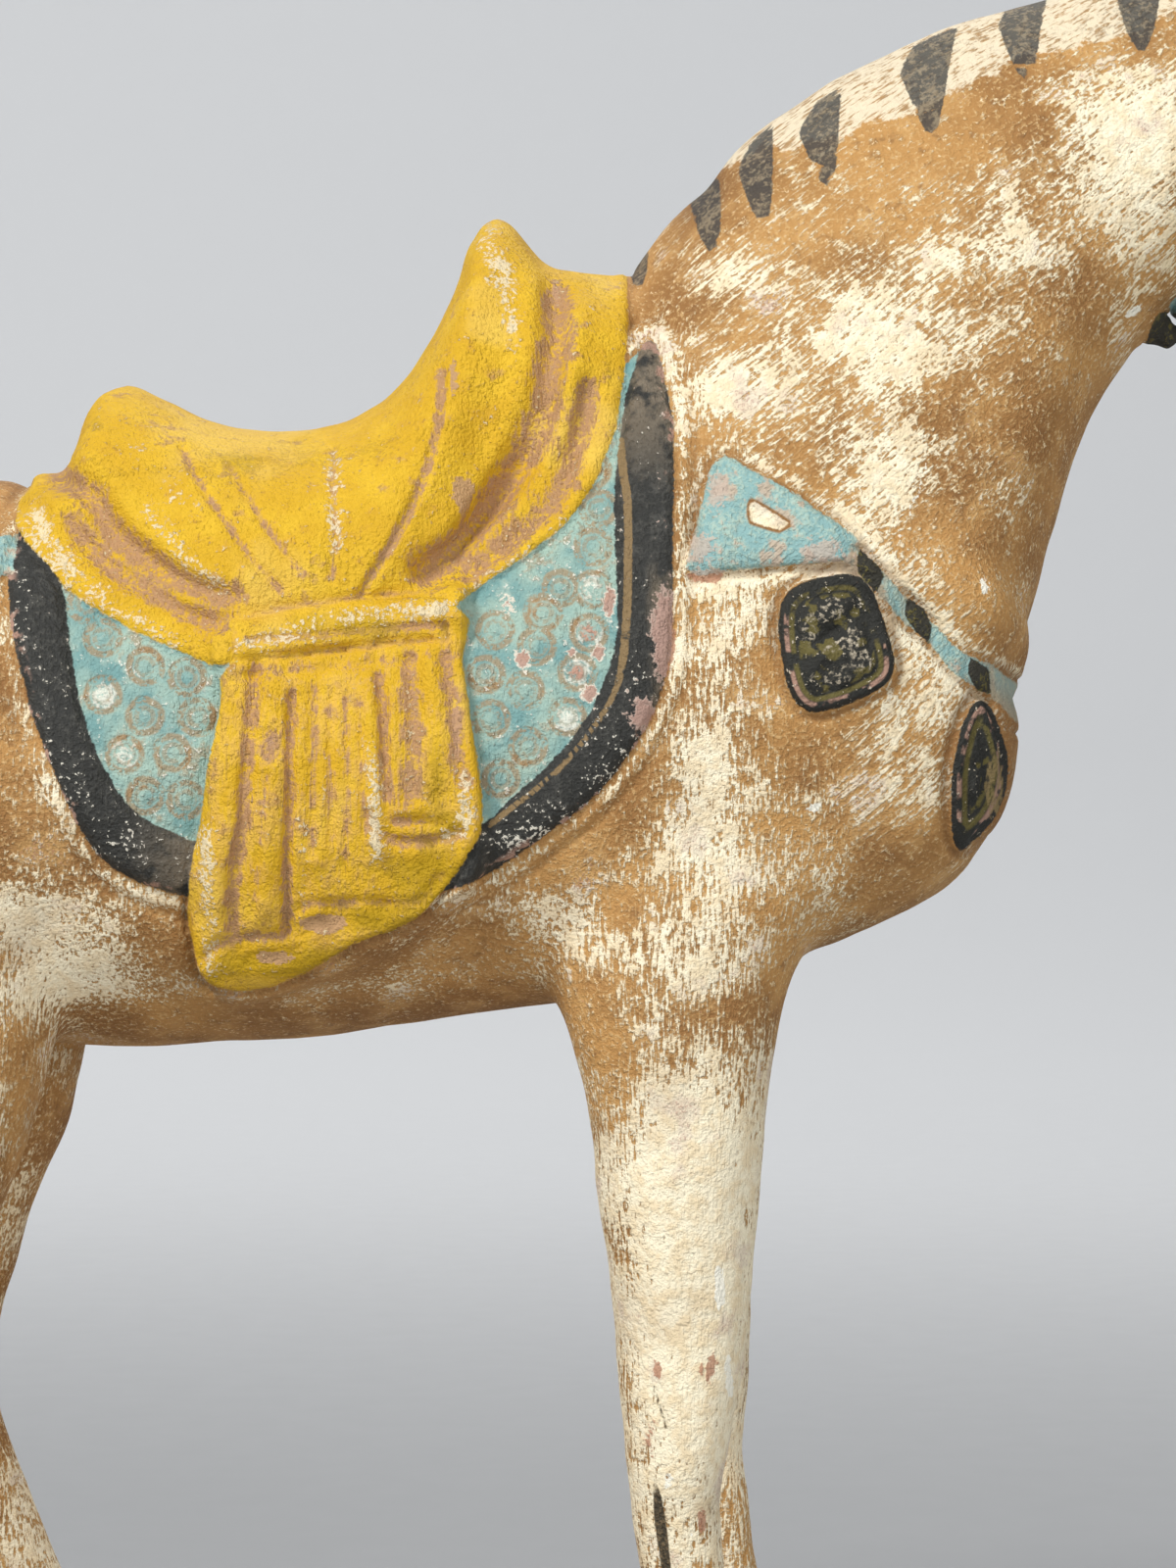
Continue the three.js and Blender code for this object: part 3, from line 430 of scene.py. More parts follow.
def slip_share(flat, units):
    """How far cream slip still covers each point, from 0 to 1."""
    share = np.full(len(flat), 0.15)
    for *place, amount in SLIP:
        share += amount * spot(flat, *place)
    share += 0.32 * (1 - ramp(units[:, 2], 16, 46)) * (np.abs(units[:, 1]) > 2)
    share += 0.10 * waves(units, 7, seed=5) + 0.06 * waves(units, 3, seed=6)
    return share


# Shaping

def column(items, name, kind=np.float64, width=1):
    """One property of every item of a mesh, in rows of width numbers."""
    values = np.empty(len(items) * width, kind)
    items.foreach_get(name, values)
    return values.reshape(-1, width) if width > 1 else values


def points_of(mesh):
    return column(mesh.vertices, "co", width=3)


def edges_of(mesh):
    return column(mesh.edges, "vertices", np.int32, 2)


def put_points(mesh, points):
    mesh.vertices.foreach_set("co", points.ravel())
    mesh.update()


def carve(mesh, points, rise, node):
    """Sets the mesh's points out by rise millimetres along its normals, but not past the node's box."""
    put_points(mesh, points)
    points = points + column(mesh.vertices, "normal", width=3) * rise[:, None] / 1000
    low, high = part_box(node)
    put_points(mesh, np.clip(points, np.array(low) + 1e-5, np.array(high) - 1e-5))


def evened(values, edges, share, rounds):
    """Each value drawn share of the way to its neighbours' mean, rounds times over."""
    count = len(values)
    start, end = edges.T
    fellows = np.maximum(np.bincount(edges.ravel(), minlength=count), 1)
    for _ in range(rounds):
        mean = np.stack([
            np.bincount(start, values[end, k], count) + np.bincount(end, values[start, k], count)
            for k in range(values.shape[1])
        ], axis=1) / fellows[:, None]
        values = values + share[:, None] * (mean - values)
    return values


def applied(piece, kind, **settings):
    """The piece's mesh with one modifier made part of it."""
    modifier = piece.modifiers.new("shape", kind)
    for name, value in settings.items():
        setattr(modifier, name, value)
    seen = piece.evaluated_get(bpy.context.evaluated_depsgraph_get())
    mesh = bpy.data.meshes.new_from_object(seen)
    piece.modifiers.clear()
    old = piece.data
    piece.data = mesh
    bpy.data.meshes.remove(old)
    return mesh


def closely_meshed(name, node, voxel):
    """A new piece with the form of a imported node, in even small faces."""
    piece = bpy.data.objects.new(name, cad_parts[node].data.copy())
    bpy.context.scene.collection.objects.link(piece)
    piece.data.materials.clear()
    applied(piece, "REMESH", mode="VOXEL", voxel_size=voxel)
    return piece


class Layout:
    """Distances on the side view from the edges of everything carved or painted, more than 0 inside."""

    def __init__(self, points):
        flat, units = side_view(points), in_units(points)
        self.flat, self.units = flat, units
        upright = self.upright = units[:, [0, 2]]
        self.cover = within(flat, COVER)
        self.fall = within(flat, FALL)
        self.band = within(flat, BAND)
        self.border_out = within(flat, BORDER_OUT)
        self.border_in = within(flat, BORDER_IN)
        self.stripe = distance(flat, BORDER_STRIPE)
        self.triangle = within(flat, TRIANGLE)
        self.hole = within(flat, TRIANGLE_HOLE)
        self.breast_strap = within(flat, BREAST_STRAP)
        turn = np.arctan2(np.abs(units[:, 1]), units[:, 0] - BREAST_AXIS)
        beside = in_steps((turn - BREAST_PENDANT_START) * BREAST_RADIUS)
        breast_pendant = np.minimum(within(flat, BREAST_PENDANT), beside)
        self.pendants = np.maximum(within(flat, FLANK_PENDANT), breast_pendant)
        boss = (1 - oval(upright, *CRUPPER_PENDANT, power=2.6)) * CRUPPER_PENDANT[2]
        self.pendants = np.maximum(self.pendants, in_steps(boss))
        blocks = [within(flat, block) for block in BLOCKS]
        blocks += [in_steps(1 - oval(upright, *place, 1.0, 1.25)) for place in CRUPPER_BLOCKS]
        blocks.append(in_steps((1 - oval(upright, *KNOB, 1.2, 1.2)) * 1.2))
        self.blocks = np.max(blocks, axis=0)
        self.crupper = self.in_plane(upright, CRUPPER)
        self.throat = self.in_plane(upright, THROAT_STRAP)
        cheek, nose = self.in_plane(upright, CHEEK_STRAP), self.in_plane(upright, NOSE_STRAP)
        self.bridle = np.max([self.throat, cheek, nose], axis=0)
        self.tail = self.in_plane(upright, TAIL)
        self.mane = np.max([within(flat, spike) for spike in MANE], axis=0)
        self.crest = within(flat, CREST)
        self.eye = oval(upright, *EYE_PLACE, 1.5, 1.1)
        self.nostril = oval(upright, *NOSTRIL, 0.85, 1.15)

    @staticmethod
    def in_plane(upright, outline):
        """The distance from an outline drawn in units, in steps."""
        return within(upright * (STEPS, -STEPS), np.array(outline) * (STEPS, -STEPS))


def ring_offsets(flat):
    """From each point to the nearest stamped ring's middle."""
    gaps = flat[:, None, :] - RINGS[None, :, :2]
    nearest = np.argmin((gaps**2).sum(2), axis=1)
    return gaps[np.arange(len(flat)), nearest], nearest


def carving(layout):
    """How far each point of the horse stands out from its smoothed form, in millimetres."""
    flat, units, pendants = layout.flat, layout.units, layout.pendants
    edge = np.maximum(layout.cover, layout.fall)
    cloth = ramp(edge, -2, 3)
    rise = np.zeros(len(flat))
    for line, width, depth in GROOVES:
        away = distance(flat, rounded(line))
        rise += bumps(away, (0, width, -depth), (2.1 * width, width, 0.22 * depth)) * cloth
    for line, width, height in RIDGES:
        rise += bump(distance(flat, rounded(line)), width, height) * cloth
    for chip in CHIPS:
        rise -= ramp(-distance(flat, chip), -9, -5) * 0.5
    rise += waves(units, 2.2, seed=1) * 0.12 * cloth
    rise += bumps(edge, (6, 6, 0.5), (-4, 3.5, -0.7))
    rise += bump(layout.fall + 3, 3, -0.6) * ramp(flat[:, 1], 690, 720)
    rise += bumps(layout.band, (0, 4, -1.1), (12, 7, 0.5)) * cloth

    bare = 1 - cloth
    offsets, _ = ring_offsets(flat)
    stamp = bumps(np.hypot(*offsets.T), (17, 2.8, -0.5), (13, 2.6, 0.25), (8.8, 2.4, -0.4), (0, 5.5, 0.5))
    rise += ramp(layout.border_in, 0, 4) * bare * (stamp + waves(units, 1.6, seed=2) * 0.10)
    outer = bumps(layout.border_out, (-21, 5, -0.7), (-10, 6, 0.30), (-1, 3, -0.5), (10, 7, 0.25))
    inner = bumps(layout.border_in, (0, 4, -0.7), (-10, 7, 0.25))
    rise += bare * (outer + inner + bump(layout.stripe, 3, -0.25))

    rise += bump(layout.breast_strap + 3, 3.5, -0.8) + bump(layout.triangle + 4, 4, -0.9)
    rise += bump(distance(flat, TRIANGLE_LINE), 3, -0.4) + ramp(layout.hole, -3, 3) * -0.5
    rise += bumps(pendants, (-5, 5, -1.3), (5, 5, 0.5), (17, 4, -0.6))
    rise += ramp(pendants, 18, 26) * (0.8 * waves(units, 1.0, seed=3) + 0.2)
    rise += bump(layout.blocks + 2, 2.5, -0.5) + ramp(layout.blocks, 0, 6) * 0.35
    rise += bump(layout.crupper + 3, 3, -0.4) + bump(layout.bridle + 3, 3, -0.35)
    rise += ramp(layout.throat, 0, 6) * 0.9

    rise -= 1.7 * spot(flat, *BREAST_HOLLOW) + 2.4 * spot(flat, *WITHERS_HOLLOW)
    rise += head_carving(layout) + leg_carving(units) + tail_carving(layout)
    rise += bump(distance(flat, CRACK), 2.2, -0.6) * (units[:, 1] < 0)
    body = bare * (1 - ramp(layout.border_out, -8, 0))
    rise += body * (waves(units, 6.5, seed=4) * 0.30 + waves(units, 2.6, seed=7) * 0.10)
    return rise


def head_carving(layout):
    """Eyes with their lids and brows, nostrils, lips, cheeks and the forelock's hair."""
    x, y, z = layout.units.T
    upright = layout.upright
    head = ramp(z, 66, 68) * ramp(x, 37.5, 39)
    eye = bumps(layout.eye, (0, 0.6, 0.7), (0.98, 0.16, -0.9), (1.3, 0.2, 0.5))
    brow = bump(distance(upright, BROW), 0.55, 0.9)
    nostril = bumps(layout.nostril, (0, 0.62, -2.6), (1.25, 0.38, 0.8))
    nose_bone = bump(distance(upright, NOSE_BONE), 0.8, 0.6)
    cheek = bump(distance(upright, CHEEK), 0.5, -0.8)
    lips = bump(distance(upright, LIPS), 0.38, -1.3)
    tuft = ramp(2.0 - np.abs(y), 0, 0.4) * ramp(z, 91.4, 92.4) * ramp(x, 42.2, 43) * np.sin(y * 7.5) * 0.28
    sides = ramp(np.abs(y), 1.2, 2.4)
    return head * ((eye + brow + nostril + nose_bone + cheek) * sides + lips + tuft)


def leg_carving(units):
    """Tendons, knees and the rims of the hooves."""
    x, y, z = units.T
    legs = 1 - ramp(z, 40, 46)
    fore = x > -5
    side = np.abs(y) - 8.1
    lean = np.where((y > 0) & fore, 3.6 * (1 - ramp(z, 0, 42)), 0)
    hind = np.interp(z, [8, 13, 18, 27, 36], [-20, -22, -24, -27.4, -27.6])
    along_x = x - np.where(fore, 11.2 + 0.6 * (z < 12), hind) - lean
    tendon = bump(np.abs(side) - 1.75, 0.7, 1) * bump(along_x + 0.5, 0.42, -0.65)
    tendon *= between(z, 11.5, 13.5, 22, 25)
    above_knee = z - np.where(fore, 25.4, 31.0)
    knee = bump(above_knee, 1.6, 0.45) * bump(along_x - 1.8, 1.8, 1) - bump(above_knee + 2.6, 0.8, 0.3)
    coronet_and_fetlock = bumps(z, (5.1, 0.32, -0.7), (5.7, 0.5, 0.35), (9.9, 0.9, 0.3))
    hoof = (1 - ramp(z, 4.2, 4.8)) * 0.10 * np.sin(z * 6.0)
    return legs * (tendon + knee + coronet_and_fetlock + hoof)


def tail_carving(layout):
    """The turns of the band that the tail is bound with, and the hair below it."""
    x, y, z = layout.units.T
    on_tail = ramp(layout.tail, 0, 8) * (x < -38.9)
    turns = np.where(z > 62, 0.32 * np.sin((z + 0.35 * y) * 5.2), 0.26 * np.sin(np.arctan2(y, x + 41) * 9))
    return on_tail * turns


def kept_sharp(layout):
    """How freely each point may be smoothed: less near edges that the form already has."""
    near = np.min(np.abs([
        layout.cover, layout.fall, layout.band, layout.border_out, layout.border_in, layout.breast_strap,
        layout.triangle, layout.pendants, layout.crupper, layout.bridle,
    ]), axis=0)
    freely = 0.10 + 0.40 * ramp(near, 3, 16)
    x, _, z = layout.units.T
    head = ramp(z, 64, 68) * ramp(x, 38, 42)
    ears = ramp(z, 97, 99)
    return freely * (1 - 0.55 * head) * (1 - 0.7 * ears)


def softened(points, edges, freely, rounds):
    """Points smoothed by their freedom, with what the form lost by it given back."""
    smooth_points = evened(points, edges, freely, rounds)
    return smooth_points + evened(points - smooth_points, edges, np.full(len(points), 0.5), rounds)


def add_values(mesh, **values):
    """Gives each point of the mesh some named numbers for its paint."""
    for name, numbers in values.items():
        layer = mesh.attributes.new(name, "FLOAT", "POINT")
        layer.data.foreach_set("value", np.asarray(numbers, np.float32))


def carved_horse():
    fine = 0.00105
    most_triangles = 190000
    piece = closely_meshed("horse_carved", "horse", fine)
    points, edges = points_of(piece.data), edges_of(piece.data)
    layout = Layout(points)
    rounds = 44
    points = softened(points, edges, kept_sharp(layout), rounds)

    x, _, z = layout.units.T
    blanket = np.maximum(layout.border_out, layout.fall)
    root = between(z, 38, 44, 58, 64) * (1 - ramp(blanket, -14, -4))
    points = evened(points, edges, 0.5 * root, rounds * 3)
    nape = between(x, 34.6, 35.6, 38.2, 39.6) * between(z, 79, 82, 99.5, 101)
    points = evened(points, edges, 0.5 * nape, rounds * 2)
    carve(piece.data, points, carving(layout), "horse")

    triangles = 2 * len(piece.data.polygons)
    applied(piece, "DECIMATE", ratio=min(1.0, most_triangles / triangles), use_collapse_triangulate=True)
    finish_mesh(piece.data)
    return piece


def finish_mesh(mesh):
    """Smooth shading, and what the paint needs to know of each point."""
    mesh.shade_smooth()
    layout = Layout(points_of(mesh))
    flat, units = layout.flat, layout.units
    x, y, z = units.T
    add_values(
        mesh,
        yellow=np.max([layout.cover, layout.fall, layout.band], axis=0),
        fall=layout.fall,
        field=layout.border_in,
        border=layout.border_out,
        stripe=layout.stripe - 3.2 + 1.4 * ramp(flat[:, 1], 670, 710),
        blue=np.max([
            np.maximum(layout.breast_strap, layout.triangle) - 0.5, layout.crupper, layout.bridle,
        ], axis=0),
        hole=layout.hole,
        pendant=layout.pendants,
        block=layout.blocks,
        mane=np.maximum(layout.mane, dark_hair(layout)),
        crest=layout.crest - 26 * (1 - ramp(flat[:, 0], 740, 880)),
        eye=layout.eye + 4 * (np.abs(y) < 4.9) + 4 * (z < 86) + 4 * (x < 42),
        hoof=in_steps(5.0 - z),
        flesh=flesh(layout),
        depth=carving(layout),
        # painted shade along the carved grooves of cover and fall
        dull=np.max([
            bump(distance(flat, rounded(line)), 1.7 * width, min(1.0, 0.85 * depth))
            for line, width, depth in GROOVES
        ], axis=0),
        rubbed=np.min([distance(flat, rounded(line)) for line in RUBBED], axis=0),
        faded=border_fading(flat),
        pink=spots(flat, PINK),
        olive=spots(flat, OLIVE),
        worn=spots(flat, WORN),
        flecked=spots(flat, FLECKED),
        slant=ramp(flat[:, 0] - 0.35 * (flat[:, 1] - 600), 740, 860),
    )
    near_side = np.where(y < 0, 0.0, -FAR)
    dabs = [width - distance(flat, line) for line, width in DABS]
    marks = [1.3 - distance(flat, line) for line in CREST_LINES]
    marks += [within(flat, LEG_STROKE), 1.4 - distance(flat, CRACK)]
    add_values(mesh, dab=np.max(dabs, axis=0) + near_side, mark=np.max(marks, axis=0) + near_side)
    edges = [layout.border_out + 9, layout.triangle + 9, layout.breast_strap + 8]
    halo = bump(np.min(np.abs(edges), axis=0), 7, 0.30)
    # painted shade under the belly: less slip near the belly line
    shade = ramp(-distance(flat, BELLY_LINE), -50, -10)
    add_values(mesh, slip=slip_share(flat, units) + halo - 0.16 * shade)
    add_ring_corners(mesh, flat)


def dark_hair(layout):
    """Where the forelock and the tail are painted dark."""
    x, y, z = layout.units.T
    end = 91.8 + 0.4 * np.sin(7.5 * y)
    forelock = in_steps(np.min([2.0 - np.abs(y), z - end, x - 42.6], axis=0))
    below = np.minimum(layout.tail, (x < -38.9) * 2 * FAR - FAR)
    return np.maximum(forelock, below)


def flesh(layout):
    """Where the nostrils, the lips and the insides of the ears are painted pink, in steps from the edge."""
    x, _, z = layout.units.T
    lips = 0.55 - distance(layout.upright, LIPS)
    ears = np.min([z - 99.0, x - 42.5 - 0.12 * (z - 98), 44 - x], axis=0)
    ears = np.where(z > 96, ears, -FAR)
    return in_steps(np.max([1.05 - layout.nostril, lips, ears], axis=0))


def border_fading(flat):
    """How worn the border's black is, from 0 to 1."""
    x, y = flat.T
    tip = 1 - ramp(y, 380, 520)
    rear = ramp(y, 800, 880) * between(x, 120, 200, 380, 480)
    rim = ramp(x, 660, 672) * between(y, 560, 620, 720, 780)
    return np.clip(0.75 * tip * (x > 300) + 0.6 * rear + 0.8 * rim, 0, 1)


def add_ring_corners(mesh, flat):
    """Each triangle's corners, measured from the middle of the ring nearest to it."""
    corners = column(mesh.loops, "vertex_index", np.int32)
    starts = column(mesh.polygons, "loop_start", np.int32)
    totals = column(mesh.polygons, "loop_total", np.int32)
    middles = np.add.reduceat(flat[corners], starts, axis=0) / totals[:, None]
    _, nearest = ring_offsets(middles)
    ring = np.repeat(nearest, totals)
    away = np.zeros((len(corners), 3), np.float32)
    away[:, :2] = flat[corners] - RINGS[ring, :2]
    away[:, 2] = RINGS[ring, 2]
    layer = mesh.attributes.new("ring", "FLOAT_VECTOR", "CORNER")
    layer.data.foreach_set("vector", away.ravel())


def worn_slab():
    """The slab with hand-cut, slightly uneven faces and knocked edges."""
    piece = closely_meshed("slab_worn", "base", 0.0018)
    points, edges = points_of(piece.data), edges_of(piece.data)
    units = in_units(points)
    from_edge = slab_inset(points) / UNIT
    points = softened(points, edges, np.full(len(points), 0.4), 6)
    upper = ramp(points[:, 2], 0.002, 0.006)
    knocks = ramp(waves(units, 4.0, seed=11), 0.75, 1.5) * (1 - ramp(from_edge, 0.2, 1.6))
    ground = 0.16 * waves(units, 5, seed=12) + 0.07 * waves(units, 1.6, seed=13)
    rise = upper * (ground - 0.2 - 1.1 * knocks)
    carve(piece.data, points, rise, "base")
    applied(piece, "DECIMATE", ratio=0.7, use_collapse_triangulate=True)
    piece.data.shade_smooth()
    points = points_of(piece.data)
    below_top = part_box("base")[1][2] - points[:, 2]
    from_rim = np.maximum(slab_inset(points), below_top)
    add_values(piece.data, edge=1 - ramp(from_rim, 0.0008, 0.0035))
    return piece


def slab_inset(points):
    """How far in from the slab's nearest side points lie, in metres."""
    half_length, half_width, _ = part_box("base")[1]
    return np.minimum(half_length - np.abs(points[:, 0]), half_width - np.abs(points[:, 1]))


# Materials

def linear(colour):
    """An sRGB colour, each part 0 to 255, as the linear one that nodes take."""
    parts = [part / 255 for part in colour]
    return (*[c / 12.92 if c <= 0.04045 else ((c + 0.055) / 1.055) ** 2.4 for c in parts], 1.0)


class Value:
    """What a node gives out, to be added, multiplied and faded like a number."""

    def __init__(self, paint, socket):
        self.paint, self.socket = paint, socket

    def __add__(self, other):
        return self.paint.math("ADD", self, other)

    def __mul__(self, other):
        return self.paint.math("MULTIPLY", self, other)

    def __sub__(self, other):
        return self.paint.math("SUBTRACT", self, other)

    def __rsub__(self, other):
        return self.paint.math("SUBTRACT", other, self)

    __radd__ = __add__

    def fade(self, low, high):
        """0 up to low, 1 from high, and smooth between them."""
        node = self.paint.node("ShaderNodeMapRange")
        node.interpolation_type = "SMOOTHSTEP"
        self.paint.feed(node.inputs["Value"], self)
        node.inputs["From Min"].default_value = low
        node.inputs["From Max"].default_value = high
        return Value(self.paint, node.outputs["Result"])

    def wane(self, low, high):
        """1 up to low, 0 from high, and smooth between them."""
        return 1.0 - self.fade(low, high)


class Paint:
    """A node material under construction. Inputs may be numbers, sRGB colours up to 255 or Values."""

    def __init__(self, name):
        self.material = bpy.data.materials.new(name)
        self.material.use_nodes = True
        self.tree = self.material.node_tree
        self.tree.nodes.clear()
        self.shader = self.node("ShaderNodeBsdfPrincipled")
        output = self.node("ShaderNodeOutputMaterial")
        self.tree.links.new(self.shader.outputs["BSDF"], output.inputs["Surface"])
        self.object = self.node("ShaderNodeTexCoord").outputs["Object"]

    def node(self, kind):
        return self.tree.nodes.new(kind)

    def feed(self, socket, value):
        if isinstance(value, Value):
            self.tree.links.new(value.socket, socket)
        else:
            socket.default_value = linear(value) if isinstance(value, tuple) else value

    def math(self, operation, a, b=0.0):
        node = self.node("ShaderNodeMath")
        node.operation = operation
        self.feed(node.inputs[0], a)
        self.feed(node.inputs[1], b)
        return Value(self, node.outputs[0])

    def mix(self, share, a, b):
        node = self.node("ShaderNodeMix")
        node.data_type = "RGBA"
        self.feed(node.inputs["Factor"], share)
        self.feed(node.inputs["A"], a)
        self.feed(node.inputs["B"], b)
        return Value(self, node.outputs["Result"])

    def coats(self, ground, *coats):
        """The ground with one coat after another laid over it: the share of each and its colour."""
        for share, colour in coats:
            ground = self.mix(share, ground, colour)
        return ground

    def attribute(self, name):
        node = self.node("ShaderNodeAttribute")
        node.attribute_name = name
        return node

    def value(self, name):
        return Value(self, self.attribute(name).outputs["Fac"])

    def parts(self, vector):
        """The three numbers of a vector."""
        split = self.node("ShaderNodeSeparateXYZ")
        self.tree.links.new(vector, split.inputs["Vector"])
        return [Value(self, part) for part in split.outputs]

    def length(self, a, b):
        return self.math("SQRT", a * a + b * b)

    def stretched(self, scale, turn=0.0):
        """Object coordinates drawn out by scale, upright or turned about Y from there."""
        node = self.node("ShaderNodeMapping")
        node.vector_type = "TEXTURE"
        self.tree.links.new(self.object, node.inputs["Vector"])
        node.inputs["Rotation"].default_value = (0, turn, 0)
        node.inputs["Scale"].default_value = scale
        return node.outputs["Vector"]

    def noise(self, size, detail=3.0, rough=0.55, along=None):
        """Noise about 0, mostly from -1 to 1, whose grains are about size metres."""
        node = self.node("ShaderNodeTexNoise")
        self.tree.links.new(self.object if along is None else along, node.inputs["Vector"])
        node.inputs["Scale"].default_value = 1 / size
        node.inputs["Detail"].default_value = detail
        node.inputs["Roughness"].default_value = rough
        return self.math("SUBTRACT", Value(self, node.outputs["Fac"]), 0.5) * 6.0

    def finish(self, colour, rough, specular):
        """Gives the shader its colour and its matt surface."""
        self.feed(self.shader.inputs["Base Color"], colour)
        self.feed(self.shader.inputs["Roughness"], rough)
        self.shader.inputs["Specular IOR Level"].default_value = specular
        return self.material

    def bumped(self, height, depth):
        """Gives the shader the relief of height, depth metres for each 1 of it."""
        node = self.node("ShaderNodeBump")
        node.inputs["Strength"].default_value = 1.0
        node.inputs["Distance"].default_value = depth
        self.feed(node.inputs["Height"], height)
        self.tree.links.new(node.outputs["Normal"], self.shader.inputs["Normal"])


class FigurePaint(Paint):
    """The figure's paint, with the noises, the worn places and the painted shade of carved hollows that its
    layers share.
    """

    def __init__(self, name):
        super().__init__(name)
        self.cloud = self.noise(0.030, 2)
        self.patch = self.noise(0.011, 3)
        self.mottle = self.noise(0.0038, 3, 0.6)
        self.grain = self.noise(0.0010, 2, 0.65)
        self.speck = self.noise(0.0006, 2, 0.6)
        self.upright = self.noise(0.0007, 2, 0.6, along=self.stretched((1, 1, 7)))
        slope = math.radians(50)
        self.slanting = self.noise(0.00075, 2, 0.6, along=self.stretched((1, 1, 7), slope))
        self.coarse = self.mottle + self.grain
        self.blotch = self.patch + self.mottle
        self.ragged = self.mottle * 1.4 + self.grain * 1.2

        slant = (self.value("slant") + self.patch * 0.35).fade(0.3, 0.7)
        self.stroke = self.upright * (1.0 - slant) + self.slanting * slant
        # Painted shade: 0 to 1, more the deeper the carving sinks below the smoothed form; it darkens the
        # colour in hollows.
        self.hollow_shade = (self.value("depth") * -1.0).fade(0.10, 1.25)
        pink = self.value("pink") + self.mottle * 0.16
        self.bare = (pink + self.grain * 0.12).fade(0.42, 0.56)
        self.edged = (pink + self.grain * 0.2).fade(0.28, 0.42)
        uneven = self.stroke * 0.24 + self.grain * 0.16 + self.patch * 0.13 + self.mottle * 0.12
        self.slip_left = self.value("slip") + uneven
        self.slip = self.slip_left.fade(0.38, 0.60)
        self.cream = self.coats(
            self.mix(self.mottle.fade(-0.6, 0.9), (255, 243, 212), (242, 222, 184)),
            (self.patch.fade(0.4, 1.2) * 0.6, (222, 204, 184)),
        )

    def area(self, name, rag, low, high):
        """Where the named area lies, with ragged edges."""
        return (self.value(name) + self.ragged * rag).fade(low, high)


def coat(p):
    """Ochre wash, with cream slip brushed over it and mostly rubbed off, and painted shade in the carved
    hollows.
    """
    wash = p.coats(
        p.mix(p.cloud.fade(-0.8, 0.9), (152, 109, 62), (194, 146, 86)),
        (p.patch.fade(0.0, 1.1) * 0.55, (212, 168, 106)),
        (p.mottle.fade(0.2, 1.2) * 0.6, (132, 94, 56)),
        (p.grain.fade(0.1, 1.0) * 0.5, (222, 186, 130)),
        ((p.grain + p.speck * 0.6 + p.mottle * 0.5).fade(1.15, 1.45) * 0.8, (244, 224, 186)),
        (p.slip_left.fade(0.16, 0.46) * 0.32, (226, 190, 134)),
    )
    return p.coats(
        wash,
        (p.slip, p.cream),
        ((p.patch + p.speck).fade(1.35, 1.9) * 0.5, (176, 128, 112)),
        # painted shade in the body's carved hollows
        (p.hollow_shade * 0.55, (128, 90, 52)),
        (p.bare * 0.85, (184, 132, 104)),
        (p.area("dab", 0.9, -0.3, 0.8), (255, 250, 232)),
    )


def hair_and_hooves(p, body):
    """The cream band below the crest, the mane's dark locks, brush marks, pink flesh and hooves."""
    crest = (p.value("crest") + p.ragged * 1.6 + p.patch * 6.0).fade(-1, 3)
    band = p.mix((p.slanting + p.mottle * 0.6).fade(-0.1, 1.0), (242, 229, 200), (178, 142, 98))
    lock = p.mix(p.coarse.fade(-0.4, 1.3), (66, 66, 64), (139, 126, 104))
    mark = p.mix(p.grain.fade(-0.3, 1.0), (74, 66, 52), (120, 102, 76))
    horn = p.mix(p.coarse.fade(-0.6, 1.0), (84, 78, 70), (150, 128, 98))
    return p.coats(
        body,
        (crest * 0.85, band),
        ((p.value("mane") + p.grain * 0.8).fade(-0.6, 1.0) * 0.92, lock),
        ((p.value("mark") + p.grain * 0.5).fade(-0.6, 1.0), mark),
        (p.area("flesh", 1.0, -2, 4) * 0.6, (176, 124, 102)),
        (p.area("hoof", 1.0, -2, 2) * 0.85, horn),
    )


def stamped_field(p):
    """The blanket's turquoise field with its stamped rings, painted shade in their grooves, and their worn
    hearts.
    """
    across, down, kind = p.parts(p.attribute("ring").outputs["Vector"])
    away = p.length(across, down) + p.mottle * 1.1

    def circle(radius, half):
        return p.math("ABSOLUTE", away - radius).wane(half * 0.4, half)

    # Painted shade along the rings' two carved grooves, with blotches of grime over the field.
    groove_shade_and_grime = circle(17.0, 5.0) * 0.74 + circle(8.8, 3.6) * 0.5
    groove_shade_and_grime = p.math("MINIMUM", groove_shade_and_grime + p.blotch.fade(0.7, 1.7) * 0.6, 1.0) * p.coarse.fade(-1.3, 0.1)
    marked = kind.fade(0.5, 1.0)
    around = circle(11.5, 4.5) * (marked * p.coarse.fade(-0.5, 0.9))
    worn_heart = (away + p.mottle * 1.2).wane(5.5, 9.5) * (marked * p.coarse.fade(-1.4, 0.2))
    heart = p.mix(kind.fade(1.4, 1.6), (236, 234, 218), (200, 146, 122))
    fleck = (p.grain + p.mottle * 0.7 + p.speck * 0.4).fade(1.0, 1.5)
    return p.coats(
        p.mix(p.patch.fade(-0.9, 0.8), (116, 158, 156), (164, 190, 176)),
        (p.mottle.fade(0.1, 1.3) * 0.45, (196, 208, 190)),
        (groove_shade_and_grime, (163, 135, 98)),
        (around * 0.7, (232, 230, 216)),
        (worn_heart * 0.85, heart),
        (fleck * 0.8, (234, 234, 220)),
    )


